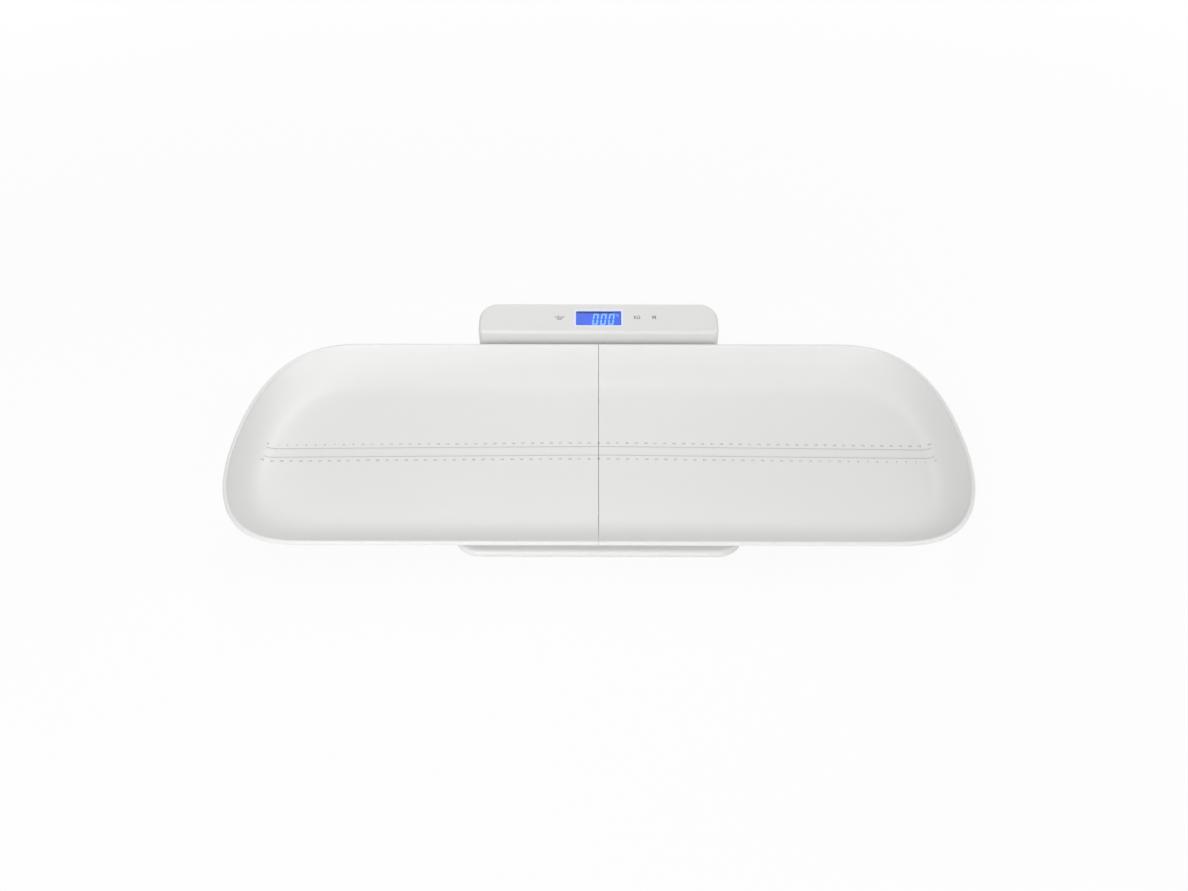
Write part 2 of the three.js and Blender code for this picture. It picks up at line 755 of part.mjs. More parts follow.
function makeLowerHousing() {
  const places = [...housingScrewPlaces, ...consoleScrewPlaces];
  const bosses = places.map(({ x, y }) => disc(
    SCREW_BOSS_RADIUS,
    [BASE_LIFT + FIT, postBottom - FIT],
    x,
    y,
    SMALL_ROUND_STEPS,
  ));
  const wells = places.flatMap(({ x, y }) => [
    disc(SCREW_WELL_RADIUS, [0, BASE_LIFT + SCREW_WELL_DEPTH], x, y, SMALL_ROUND_STEPS),
    disc(SCREW_SHANK_RADIUS + FIT, [0, postBottom + CUT_OVERRUN], x, y, SMALL_ROUND_STEPS),
  ]);
  const through = [0, housingTop + FIT];
  const footHoles = feet.map(({ x, y }) => disc(FOOT_CUP_RADIUS + FOOT_CLEARANCE, through, x, y));
  const doorHole = block(about(0, doorWidth), about(0, doorLength), through);
  const tabNotch = block(
    about(0, DOOR_TAB_WIDTH + 2 * FIT),
    [-doorLength / 2 - DOOR_TAB_REACH, 0],
    through,
  );
  const pinHole = rod(
    DOOR_PIN_RADIUS + FIT,
    about(0, doorWidth + 2 * DOOR_PIN_REACH),
    hingeY,
    hingeZ,
  );
  const shell = joined([housingShell(), ...bosses]);
  place(scale, "lower_housing", less(shell, [...wells, ...footHoles, doorHole, tabNotch, pinHole]), white);
}

// Console

// A rounded block whose flat top leans with the display face.
function leaningBlock(inset, topDrop, bottom) {
  const edge = Math.max(CONSOLE_EDGE_RADIUS - inset, FIT);
  const rings = [{ inset, z: bottom }];
  for (let step = 0; step <= ARC_STEPS; step += 1) {
    const angle = Math.PI / 2 * step / ARC_STEPS;
    rings.push({
      inset: inset + edge * (1 - Math.cos(angle)),
      z: CONSOLE_RIDGE_HEIGHT - topDrop - edge * (1 - Math.sin(angle)),
    });
  }
  const outlines = rings.map((ring) => ({
    z: ring.z,
    points: roundedOutline(
      about(0, BASE_WIDTH),
      [consoleFront, consoleBack],
      CONSOLE_FRONT_CORNER,
      BASE_REAR_CORNER,
      ring.inset,
    ),
  }));
  return leanTop(ringSolid(outlines), bottom);
}

// Lifts every ring but the bottom one along the slope of the face.
function leanTop(solid, bottom) {
  const rise = Math.tan(tilt);
  return solid.warp((vertex) => {
    if (vertex[2] > bottom + FIT) {
      vertex[2] += (vertex[1] - consoleFront) * rise;
    }
  });
}

// Screw posts that hang from arms on the console's rear wall, clear of the housing's rim.
function consolePosts() {
  const top = housingRim + CONSOLE_POST_HEIGHT;
  return consoleScrewPlaces.flatMap(({ x, y }) => [
    block(about(x, CONSOLE_POST_WIDTH), about(y, CONSOLE_POST_WIDTH), [postBottom, top]),
    block(about(x, CONSOLE_POST_WIDTH), [y, consoleBack - CONSOLE_WALL + FIT], [housingRim + 2 * FIT, top]),
  ]);
}

function toFace(solid) {
  return solid.transform([...consoleFace.matrix.elements]);
}

function boardPostPlaces() {
  const half = BOARD_HEIGHT / 2 - BOARD_POST_INSET;
  return [
    { name: "left", x: -boardLeft + BOARD_POST_INSET, y: WINDOW_CENTRE + half },
    { name: "right", x: boardRight - BOARD_POST_INSET, y: WINDOW_CENTRE - half },
  ];
}

function makeConsole() {
  consoleFace.updateMatrix();
  const outer = leaningBlock(0, 0, noseBottom);
  const hollow = leaningBlock(CONSOLE_WALL, CONSOLE_WALL / Math.cos(tilt), noseBottom + NOSE_WALL);
  const mouth = slab(baseOutline(NOSE_RADIUS + NOSE_FLANGE), [0, noseBottom + NOSE_WALL + FIT]);
  const passage = block(
    about(0, BASE_WIDTH - 2 * (NOSE_RADIUS + NOSE_FLANGE)),
    [0, consoleFront + CONSOLE_DEPTH / 2],
    [0, deckUnder],
  );
  const window = slab(
    roundedOutline(about(0, WINDOW_WIDTH), about(WINDOW_CENTRE, WINDOW_HEIGHT), WINDOW_CORNER, WINDOW_CORNER),
    [-CUT_OVERRUN, CUT_OVERRUN],
  );
  const rebateWidth = WINDOW_WIDTH + 2 * LENS_LAP + 2 * FIT;
  const rebateHeight = WINDOW_HEIGHT + 2 * LENS_LAP + 2 * FIT;
  const rebateTop = -CONSOLE_WALL + LENS_THICKNESS + FIT;
  const rebate = block(
    about(0, rebateWidth),
    about(WINDOW_CENTRE, rebateHeight),
    [-CUT_OVERRUN, rebateTop],
  );
  const keyHoles = keys.map(({ x }) => disc(
    KEY_RADIUS + FIT,
    [-CUT_OVERRUN, CUT_OVERRUN],
    x,
    WINDOW_CENTRE,
  ));
  const boardPosts = boardPostPlaces().map(({ x, y }) => disc(
    BOARD_POST_RADIUS,
    [boardTop + FIT, -CONSOLE_WALL + FIT],
    x,
    y,
    SMALL_ROUND_STEPS,
  ));
  const boardPilots = boardPostPlaces().map(({ x, y }) => disc(
    SCREW_SHANK_RADIUS + FIT,
    [boardTop - CUT_OVERRUN, boardTop + SCREW_BITE + 2 * FIT],
    x,
    y,
    SMALL_ROUND_STEPS,
  ));
  const shell = less(outer, [hollow, mouth, passage, ...[window, rebate, ...keyHoles].map(toFace)]);
  const posts = [...consolePosts(), ...boardPosts.map(toFace)];
  const cuts = [...pilotCuts(consoleScrewPlaces), ...boardPilots.map(toFace)];
  place(scale, "console_cover", less(joined([shell, ...posts]), cuts), white);
}

// Display

const lensTop = -CONSOLE_WALL + LENS_THICKNESS;
const glassTop = -CONSOLE_WALL - FIT;
const glassBottom = glassTop - GLASS_THICKNESS;
const lightTop = glassBottom - FIT;

function makeDisplay() {
  const up = (height) => about(WINDOW_CENTRE, height);
  const lensSize = [WINDOW_WIDTH + 2 * LENS_LAP, WINDOW_HEIGHT + 2 * LENS_LAP];
  place(
    consoleFace,
    "display_window",
    block(about(0, lensSize[0]), up(lensSize[1]), [lensTop - LENS_THICKNESS, lensTop]),
    clear,
  );
  place(
    consoleFace,
    "display_glass",
    block(about(0, GLASS_WIDTH), up(GLASS_HEIGHT), [glassBottom, glassTop]),
    blueGlass,
  );
  place(
    consoleFace,
    "display_backlight",
    block(about(0, BACKLIGHT_WIDTH), up(BACKLIGHT_HEIGHT), [lightTop - BACKLIGHT_THICKNESS, lightTop]),
    backlightBlue,
  );
  const stripRow = (BACKLIGHT_HEIGHT + STRIP_WIDTH) / 2 + FIT;
  for (const [name, row] of [["contact_strip_front", -1], ["contact_strip_rear", 1]]) {
    const strip = block(
      about(0, STRIP_LENGTH),
      about(WINDOW_CENTRE + row * stripRow, STRIP_WIDTH),
      [boardTop + FIT, glassBottom - FIT],
    );
    place(consoleFace, name, strip, darkRubber);
  }
  const inside = [GLASS_WIDTH + 2 * FIT, GLASS_HEIGHT + 2 * FIT];
  const frame = block(
    about(0, inside[0] + 2 * DISPLAY_FRAME_WALL),
    up(inside[1] + 2 * DISPLAY_FRAME_WALL),
    [boardTop + FIT, glassTop],
  ).subtract(block(about(0, inside[0]), up(inside[1]), [boardTop - CUT_OVERRUN, CUT_OVERRUN]));
  place(consoleFace, "display_frame", frame, black);
}

// Keys

const flangeTop = -CONSOLE_WALL - FIT;
const switchBottom = boardTop + FIT;
const switchTop = switchBottom + SWITCH_HEIGHT;
const plungerTop = switchTop + PLUNGER_STAND;

function makeKeys() {
  const wellDepth = PLUNGER_HIDDEN + KEY_TRAVEL + 2 * FIT;
  for (const { name, x } of keys) {
    const cap = disc(KEY_RADIUS, [flangeTop - FIT, 0], x, WINDOW_CENTRE);
    const flange = disc(KEY_RADIUS + KEY_FLANGE_LAP, [flangeTop - KEY_FLANGE, flangeTop], x, WINDOW_CENTRE);
    const stem = disc(
      KEY_STEM_RADIUS,
      [plungerTop + FIT, flangeTop - KEY_FLANGE + FIT],
      x,
      WINDOW_CENTRE,
      SMALL_ROUND_STEPS,
    );
    place(consoleFace, `key_${name}`, joined([cap, flange, stem]), keyWhite);
    place(
      consoleFace,
      `switch_plunger_${name}`,
      disc(PLUNGER_RADIUS, [switchTop - PLUNGER_HIDDEN, plungerTop], x, WINDOW_CENTRE, SMALL_ROUND_STEPS),
      black,
    );
    const body = block(about(x, SWITCH_SIZE), about(WINDOW_CENTRE, SWITCH_SIZE), [switchBottom, switchTop]);
    const well = disc(
      PLUNGER_RADIUS + FIT,
      [switchTop - wellDepth, switchTop + CUT_OVERRUN],
      x,
      WINDOW_CENTRE,
      SMALL_ROUND_STEPS,
    );
    place(consoleFace, `switch_body_${name}`, body.subtract(well), steel);
  }
}

// Circuit board and what it carries

const partsTop = boardUnder - FIT;
const connectorRow = WINDOW_CENTRE - BOARD_HEIGHT / 4;

function makeBoard() {
  const holes = boardPostPlaces().map(({ x, y }) => disc(
    SCREW_SHANK_RADIUS + FIT,
    [boardUnder - CUT_OVERRUN, boardTop + CUT_OVERRUN],
    x,
    y,
    SMALL_ROUND_STEPS,
  ));
  const board = block([-boardLeft, boardRight], about(WINDOW_CENTRE, BOARD_HEIGHT), [boardUnder, boardTop]);
  place(consoleFace, "circuit_board", less(board, holes), boardGreen);
  for (const { name, x, y } of boardPostPlaces()) {
    const fixing = screw(x, y, boardUnder - FIT, BOARD_THICKNESS + SCREW_BITE);
    place(consoleFace, `board_screw_${name}`, fixing, steel);
  }
}

function makeBoardParts() {
  const chip = block(
    about(CHIP_CENTRE, CHIP_SIZE),
    about(WINDOW_CENTRE, CHIP_SIZE),
    [partsTop - CHIP_THICKNESS, partsTop],
  );
  place(consoleFace, "controller_chip", chip, black);
  const connector = block(
    about(0, CONNECTOR_LENGTH),
    about(connectorRow, CONNECTOR_WIDTH),
    [partsTop - CONNECTOR_HEIGHT, partsTop],
  );
  place(consoleFace, "lead_connector", connector, innerWhite);
  const board = block(
    about(-MODULE_CENTRE, MODULE_LENGTH),
    about(WINDOW_CENTRE, MODULE_WIDTH),
    [partsTop - MODULE_THICKNESS, partsTop],
  );
  const shield = block(
    about(-MODULE_CENTRE, SHIELD_LENGTH),
    about(WINDOW_CENTRE, MODULE_WIDTH - 2 * FIT),
    [partsTop - MODULE_THICKNESS - SHIELD_HEIGHT, partsTop - MODULE_THICKNESS / 2],
  );
  place(consoleFace, "wireless_module", joined([board, shield]), tin);
}

// Feet and load cells

// A square plate whose U-shaped slot frees the tongue that bends under load.
function loadCell() {
  const half = cellSlotSpan / 2;
  const slot = [
    [-half, half],
    [-half, -half],
    [half, -half],
    [half, half],
    [half - CELL_SLOT_WIDTH, half],
    [half - CELL_SLOT_WIDTH, -half + CELL_SLOT_WIDTH],
    [-half + CELL_SLOT_WIDTH, -half + CELL_SLOT_WIDTH],
    [-half + CELL_SLOT_WIDTH, half],
  ].map(([x, y]) => new THREE.Vector2(x, y));
  const outline = roundedOutline(about(0, CELL_SIZE), about(0, CELL_SIZE), CELL_CORNER, CELL_CORNER);
  return slab(outline, [cellBottom, cellTop], [slot]);
}

// The ring that carries the cell's edge, with a skirt round it and two clips under it.
function cellHolder() {
  const outline = roundedOutline(about(0, holderSize), about(0, holderSize), HOLDER_CORNER, HOLDER_CORNER);
  const seat = CELL_SIZE + 2 * FIT;
  const seatOutline = roundedOutline(about(0, seat), about(0, seat), CELL_CORNER, CELL_CORNER);
  const bore = ringOf(holderBoreRadius, ROUND_STEPS);
  const lipTop = cellBottom - FIT;
  const lipBottom = lipTop - CELL_CLIP_LIP;
  const ring = slab(outline, [cellTop + FIT, deckUnder - FIT], [bore]);
  const skirt = slab(outline, [lipBottom, cellTop + 2 * FIT], [seatOutline]);
  const clipInner = CELL_SIZE / 2 - CELL_CLIP_LIP;
  const clipOuter = holderSize / 2 - FIT;
  const clips = [[-clipOuter, -clipInner], [clipInner, clipOuter]].map((reach) => (
    block(reach, about(0, CELL_CLIP_LENGTH), [lipBottom, lipTop])
  ));
  return joined([ring, skirt, ...clips]);
}

function footCup() {
  const bottom = FOOT_PAD_THICKNESS + FIT;
  return joined([
    disc(FOOT_CUP_RADIUS, [bottom, bottom + FOOT_CUP_HEIGHT]),
    disc(FOOT_BOSS_RADIUS, [bottom, cellBottom - FIT]),
  ]);
}

function makeFeet() {
  const kinds = [
    { name: "foot_pad", solid: disc(FOOT_PAD_RADIUS, [0, FOOT_PAD_THICKNESS]), material: rubber },
    { name: "foot_cup", solid: footCup(), material: innerWhite },
    { name: "load_cell", solid: loadCell(), material: steel },
    { name: "load_cell_holder", solid: cellHolder(), material: innerWhite },
  ];
  for (const { name, solid, material } of kinds) {
    for (const foot of feet) {
      place(scale, `${name}_${foot.name}`, solid.translate([foot.x, foot.y, 0]), material);
    }
  }
}

// Batteries

function batteryX(index) {
  return (index - (BATTERY_COUNT - 1) / 2) * (BATTERY_DIAMETER + BATTERY_SPACING);
}

// One cell lying along Y, its nub at the end that its side gives.
function battery(index) {
  const facing = index % 2 === 0 ? 1 : -1;
  const half = BATTERY_LENGTH / 2;
  const body = half - BATTERY_NUB_HEIGHT;
  const profile = [
    new THREE.Vector2(0, -half),
    new THREE.Vector2(BATTERY_DIAMETER / 2, -half),
    new THREE.Vector2(BATTERY_DIAMETER / 2, body),
    new THREE.Vector2(BATTERY_NUB_RADIUS, body),
    new THREE.Vector2(BATTERY_NUB_RADIUS, half),
    new THREE.Vector2(0, half),
  ];
  const geometry = new THREE.LatheGeometry(profile, ROUND_STEPS / 2);
  if (facing < 0) {
    geometry.rotateX(Math.PI);
  }
  geometry.translate(batteryX(index), 0, batteryCentreZ);
  return toSolid(geometry);
}

// A sprung plate that touches one battery, or bridges two.
function contact(indexes, row) {
  const outer = boxLength / 2 - FIT;
  const inner = outer - CONTACT_THICKNESS;
  const places = indexes.map(batteryX);
  const plate = block(
    [Math.min(...places) - CONTACT_WIDTH / 2, Math.max(...places) + CONTACT_WIDTH / 2],
    row > 0 ? [inner, outer] : [-outer, -inner],
    about(batteryCentreZ, CONTACT_HEIGHT),
  );
  const bumps = places.map((x) => {
    const height = CONTACT_BUMP_HEIGHT + CONTACT_THICKNESS / 2;
    const tip = CONTACT_BUMP_RADIUS / 2;
    const bump = new THREE.CylinderGeometry(CONTACT_BUMP_RADIUS, tip, height, SMALL_ROUND_STEPS);
    if (row < 0) {
      bump.rotateX(Math.PI);
    }
    bump.translate(x, row * (inner + CONTACT_THICKNESS / 2 - height / 2), batteryCentreZ);
    return toSolid(bump);
  });
  return joined([plate, ...bumps]);
}

// The batteries are joined end to end by plates that bridge pairs at alternate ends.
const contactLayout = [
  { name: "contact_rear_single", row: 1, indexes: [0] },
  { name: "contact_front_pair", row: -1, indexes: [0, 1] },
  { name: "contact_rear_pair", row: 1, indexes: [1, 2] },
  { name: "contact_front_single", row: -1, indexes: [2] },
];

function makeBatteryBay() {
  const outside = [boxWidth + 2 * BOX_WALL, boxLength + 2 * BOX_WALL];
  const bottom = housingTop + FIT;
  const box = joined([
    block(about(0, outside[0]), about(0, outside[1]), [bottom, boxCeiling + BOX_WALL]),
    block(
      about(0, outside[0] + 2 * BOX_FLANGE),
      about(0, outside[1] + 2 * BOX_FLANGE),
      [bottom, bottom + BOX_WALL],
    ),
  ]).subtract(block(about(0, boxWidth), about(0, boxLength), [0, boxCeiling]));
  place(scale, "battery_box", box, innerWhite);
  for (let index = 0; index < BATTERY_COUNT; index += 1) {
    place(scale, `battery_${index + 1}`, battery(index), batterySleeve);
  }
  for (const { name, row, indexes } of contactLayout) {
    place(scale, name, contact(indexes, row), tin);
  }
}

function makeBatteryDoor() {
  const width = doorWidth - 2 * FIT;
  const front = -doorLength / 2 + FIT;
  const floor = [BASE_LIFT, BASE_LIFT + DOOR_THICKNESS];
  const door = joined([
    block(about(0, width), [front, hingeY], floor),
    block(about(0, DOOR_TAB_WIDTH), [front - DOOR_TAB_REACH, 0], floor),
    rod(DOOR_BARREL_RADIUS, about(0, width), hingeY, hingeZ, ROUND_STEPS / 2),
    rod(DOOR_PIN_RADIUS, about(0, width + 2 * DOOR_PIN_REACH), hingeY, hingeZ),
  ]);
  place(scale, "battery_door", door, white);
}

// Fasteners and leads

function makeHousingScrews() {
  const seat = BASE_LIFT + SCREW_WELL_DEPTH - FIT;
  for (const { name, x, y } of [...housingScrewPlaces, ...consoleScrewPlaces]) {
    place(scale, `housing_screw_${name}`, screw(x, y, seat, SCREW_SEAT + FIT + boltOverlap), steel);
  }
}

// The leads of the four cells and of the batteries meet in a loom that climbs to the connector.
function makeHarness() {
  const low = housingTop + FIT + 2 * LEAD_RADIUS;
  const plug = onFace(0, connectorRow, partsTop - CONNECTOR_HEIGHT - FIT - TRUNK_RADIUS / 2);
  const meet = new THREE.Vector3(0, consoleFront - HARNESS_MEET_OFFSET, low + TRUNK_RADIUS);
  const laneX = boxWidth / 2 + BOX_WALL + BOX_FLANGE + HARNESS_LANE_GAP;
  const leads = feet.map((foot) => {
    const side = Math.sign(foot.x);
    const start = new THREE.Vector3(
      foot.x - side * (holderSize / 2 + LEAD_RADIUS + FIT),
      foot.y,
      cellTop + LEAD_RADIUS,
    );
    const lane = side * laneX;
    const along = foot.y < 0
      ? [new THREE.Vector3(lane, foot.y / 2, low), new THREE.Vector3(lane, railOffset, low)]
      : [];
    return lead([start, ...along, meet], LEAD_RADIUS);
  });
  const batteryLead = lead([
    new THREE.Vector3(0, boxLength / 2 + BOX_WALL + BOX_FLANGE + LEAD_RADIUS, low + LEAD_RADIUS),
    meet,
  ], LEAD_RADIUS);
  const trunk = lead([
    new THREE.Vector3(0, meet.y - TRUNK_RADIUS, meet.z),
    new THREE.Vector3(0, consoleFront, meet.z),
    new THREE.Vector3(0, plug.y, deckTop),
    plug,
  ], TRUNK_RADIUS);
  place(scale, "wiring_harness", joined([...leads, batteryLead, trunk]), black);
}

makeTray();
makePlatform();
makeDeckPads();
makeLowerHousing();
makeConsole();
makeDisplay();
makeKeys();
makeBoard();
makeBoardParts();
makeFeet();
makeBatteryBay();
makeBatteryDoor();
makeHousingScrews();
makeHarness();

// The origin is the middle of the whole scale's footprint, on the table.
scale.position.y = (TRAY_DEPTH / 2 - consoleBack) / 2;

export default scale;
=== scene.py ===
"""A baby scale with a two-part tray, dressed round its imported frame.

Lengths are in metres and in the frame's own axes: +X along the tray, +Y back to the console,
+Z up. Section heights and the plan outlines repeat the sizes that the frame was made from.
"""

import logging
import math
from collections.abc import Callable, Iterable, Iterator, Sequence
from contextlib import contextmanager
from dataclasses import dataclass, field, replace
from enum import Enum

import bmesh
import bpy
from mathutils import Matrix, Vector


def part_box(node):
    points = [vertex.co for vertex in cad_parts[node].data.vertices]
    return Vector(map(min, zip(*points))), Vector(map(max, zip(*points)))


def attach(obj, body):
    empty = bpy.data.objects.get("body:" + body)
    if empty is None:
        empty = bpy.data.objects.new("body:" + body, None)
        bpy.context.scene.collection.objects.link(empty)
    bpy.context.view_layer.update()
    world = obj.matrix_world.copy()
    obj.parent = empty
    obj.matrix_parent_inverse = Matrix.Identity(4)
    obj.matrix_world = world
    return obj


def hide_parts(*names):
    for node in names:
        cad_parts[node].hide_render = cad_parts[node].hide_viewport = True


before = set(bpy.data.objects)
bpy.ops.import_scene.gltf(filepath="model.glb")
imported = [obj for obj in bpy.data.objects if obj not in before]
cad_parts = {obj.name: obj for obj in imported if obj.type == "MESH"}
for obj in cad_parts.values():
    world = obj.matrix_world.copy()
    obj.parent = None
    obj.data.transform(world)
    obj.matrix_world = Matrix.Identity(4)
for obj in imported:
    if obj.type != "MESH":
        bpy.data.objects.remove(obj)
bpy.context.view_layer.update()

LOG = logging.getLogger("scale")
MM = 0.001
Point = tuple[float, float, float]
Span = tuple[float, float]
Plan = list[tuple[float, float]]

# The frame's origin is the middle of the whole footprint, so the tray's middle lies in front of it.
TRAY_Y = -21.75 * MM
FLOOR_TOP = 31 * MM
RIM_TOP = 56 * MM
DECK_TOP = 23 * MM
DECK_UNDER = 20.5 * MM
RAIL_OFFSET = 70 * MM
FIT = 0.3 * MM
PILOT = 1.5 * MM
FINE, COARSE = 24, 72
CORNERS = ("front_left", "front_right", "rear_left", "rear_right")


def mm(*lengths: float) -> tuple[float, ...]:
    """Turns millimetres into metres."""
    return tuple(length * MM for length in lengths)


def about(middle: float, half: float) -> Span:
    """Returns the two values that lie as far either side of a middle."""
    return middle - half, middle + half


# Node trees


@dataclass
class Wiring:
    """Adds nodes to one tree and joins their sockets.

    Args:
        tree: The shader or geometry tree that the nodes go into.
    """

    tree: bpy.types.NodeTree

    def add(self, kind: str, feeds: dict | None = None, **settings: object) -> bpy.types.Node:
        """Adds a node, sets its options and fills its inputs.

        Args:
            kind: The node's type name.
            feeds: Input name or index to a constant or to another node's output.
            settings: Properties of the node.

        Returns:
            The new node.
        """
        node = self.tree.nodes.new(kind)
        for name, value in settings.items():
            setattr(node, name, value)
        for socket, value in (feeds or {}).items():
            self.feed(node, socket, value)
        return node

    def put(self, kind: str, feeds: dict | None = None, **settings: object) -> bpy.types.NodeSocket:
        """Adds a node and returns its first output."""
        return self.add(kind, feeds, **settings).outputs[0]

    def feed(self, node: bpy.types.Node, socket: str | int, value: object) -> None:
        """Gives one input a constant or another node's output.

        Args:
            node: The node to feed.
            socket: The input's name or index.
            value: A constant, or an output socket.
        """
        target = node.inputs[socket]
        if isinstance(value, bpy.types.NodeSocket):
            self.tree.links.new(value, target)
        else:
            target.default_value = value

    def sum(self, operation: str, *values: object) -> bpy.types.NodeSocket:
        """Does one step of arithmetic, by the Math node's operation, and returns its output."""
        return self.put("ShaderNodeMath", dict(enumerate(values)), operation=operation)

    def vector(self, *values: object) -> bpy.types.NodeSocket:
        """Joins up to three numbers into a vector and returns it."""
        return self.put("ShaderNodeCombineXYZ", dict(enumerate(values)))

    def ranged(self, value: bpy.types.NodeSocket, source: Span, target: Span) -> bpy.types.NodeSocket:
        """Maps a value from one range to another, held at its ends, and returns it."""
        limits = zip(("From Min", "From Max", "To Min", "To Max"), (*source, *target))
        return self.put("ShaderNodeMapRange", {"Value": value, **dict(limits)})

    def mixed(self, share: object, first: object, second: object) -> bpy.types.NodeSocket:
        """Mixes two colours and returns the result."""
        return self.add("ShaderNodeMix", {0: share, 6: first, 7: second}, data_type="RGBA").outputs[2]

    def seen(self) -> bpy.types.NodeSocket:
        """Tells camera, gloss and glass rays from those that only light the scale.

        Returns:
            1 for such a ray, else 0.
        """
        rays = self.add("ShaderNodeLightPath").outputs
        seen = self.sum("MAXIMUM", rays["Is Camera Ray"], rays["Is Glossy Ray"])
        return self.sum("MAXIMUM", seen, rays["Is Transmission Ray"])


def emptied(owner: bpy.types.Material | bpy.types.World) -> Wiring:
    """Empties the nodes of a new material or world.

    Args:
        owner: The material or world.

    Returns:
        The wiring of its tree.
    """
    owner.use_nodes = True
    owner.node_tree.nodes.clear()
    return Wiring(owner.node_tree)


SOCKETS = {int: "NodeSocketInt", float: "NodeSocketFloat"}
GEOMETRY, MATERIAL = "NodeSocketGeometry", "NodeSocketMaterial"


def new_tree(
    name: str, kind: str, inputs: dict[str, float | str], outputs: Sequence[str]
) -> tuple[Wiring, bpy.types.Node, bpy.types.Node]:
    """Makes an empty node group with named inputs and outputs.

    Args:
        name: The group's name.
        kind: ShaderNodeTree or GeometryNodeTree.
        inputs: Each input's default value, or its socket type where it has none.
        outputs: The outputs' names.

    Returns:
        The wiring, the group's input node and its output node.
    """
    tree = bpy.data.node_groups.new(name, kind)
    for label, default in inputs.items():
        bare = isinstance(default, str)
        socket_type = default if bare else SOCKETS[type(default)]
        made = tree.interface.new_socket(name=label, in_out="INPUT", socket_type=socket_type)
        if not bare:
            made.default_value = default
    for label in outputs:
        socket_type = GEOMETRY if label == "Geometry" else SOCKETS[float]
        tree.interface.new_socket(name=label, in_out="OUTPUT", socket_type=socket_type)
    wiring = Wiring(tree)
    return wiring, wiring.add("NodeGroupInput"), wiring.add("NodeGroupOutput")


def make_grain_group() -> bpy.types.NodeTree:
    """Builds the fine moulded grain that every finish shares.

    Returns:
        A shader group that puts out a height, a tone and a gloss value, each about 0.5.
    """
    inputs = {"Grain Size": 0.0006, "Cloud Size": 0.05, "Stretch": 1.0}
    outputs = ("Height", "Tone", "Gloss")
    wiring, given, result = new_tree("moulded_grain", "ShaderNodeTree", inputs, outputs)
    place = wiring.add("ShaderNodeTexCoord").outputs["Object"]
    apart = wiring.add("ShaderNodeSeparateXYZ", {0: place}).outputs
    along = wiring.sum("MULTIPLY", apart["X"], given.outputs["Stretch"])
    drawn = wiring.vector(along, apart["Y"], apart["Z"])
    layers = (
        (drawn, "Grain Size", 1.0, {"Detail": 3.0, "Roughness": 0.6}),
        (place, "Cloud Size", 1.0, {"Detail": 4.0, "Roughness": 0.55}),
        (place, "Cloud Size", 2.7, {"Detail": 4.0, "Roughness": 0.55}),
    )
    for output, (where, size, share, options) in zip(outputs, layers):
        scale = wiring.sum("DIVIDE", share, given.outputs[size])
        noise = wiring.put("ShaderNodeTexNoise", {"Vector": where, "Scale": scale, **options})
        wiring.feed(result, output, noise)
    return wiring.tree


def make_wear_group() -> bpy.types.NodeTree:
    """Builds the light scuffs and dust that handled surfaces share.

    Returns:
        A shader group that puts out a mask, mostly 0, of thin scuffs and specks.
    """
    inputs = {"Scuff Size": 0.02, "Amount": 0.3}
    wiring, given, result = new_tree("handling_wear", "ShaderNodeTree", inputs, ["Mask"])
    place = wiring.add("ShaderNodeTexCoord").outputs["Object"]
    scale = wiring.sum("DIVIDE", 1.0, given.outputs["Scuff Size"])
    options = {"Detail": 5.0, "Roughness": 0.65, "Distortion": 1.8}
    warped = wiring.put("ShaderNodeTexNoise", {"Vector": place, "Scale": scale, **options})
    low = wiring.sum("SUBTRACT", 0.78, wiring.sum("MULTIPLY", given.outputs["Amount"], 0.2))
    wiring.feed(result, "Mask", wiring.ranged(warped, (low, 0.85), (0.0, 1.0)))
    return wiring.tree


GRAIN = make_grain_group()
WEAR = make_wear_group()


# Finishes

# Materials built so far, by the name of their finish
BUILT: dict[str, bpy.types.Material] = {}


class Sheen(Enum):
    """What kind of surface a finish has."""

    PLASTIC = "plastic"
    RUBBER = "rubber"
    METAL = "metal"
    CLEAR = "clear"
    LIT = "lit"


def linear(colour: str) -> tuple[float, float, float, float]:
    """Turns a written sRGB colour into the linear one that shaders take.

    Args:
        colour: Six hex digits.

    Returns:
        Red, green, blue and an alpha of 1.
    """
    parts = [int(colour[i : i + 2], 16) / 255 for i in (0, 2, 4)]
    red, green, blue = (p / 12.92 if p <= 0.04045 else ((p + 0.055) / 1.055) ** 2.4 for p in parts)
    return red, green, blue, 1.0


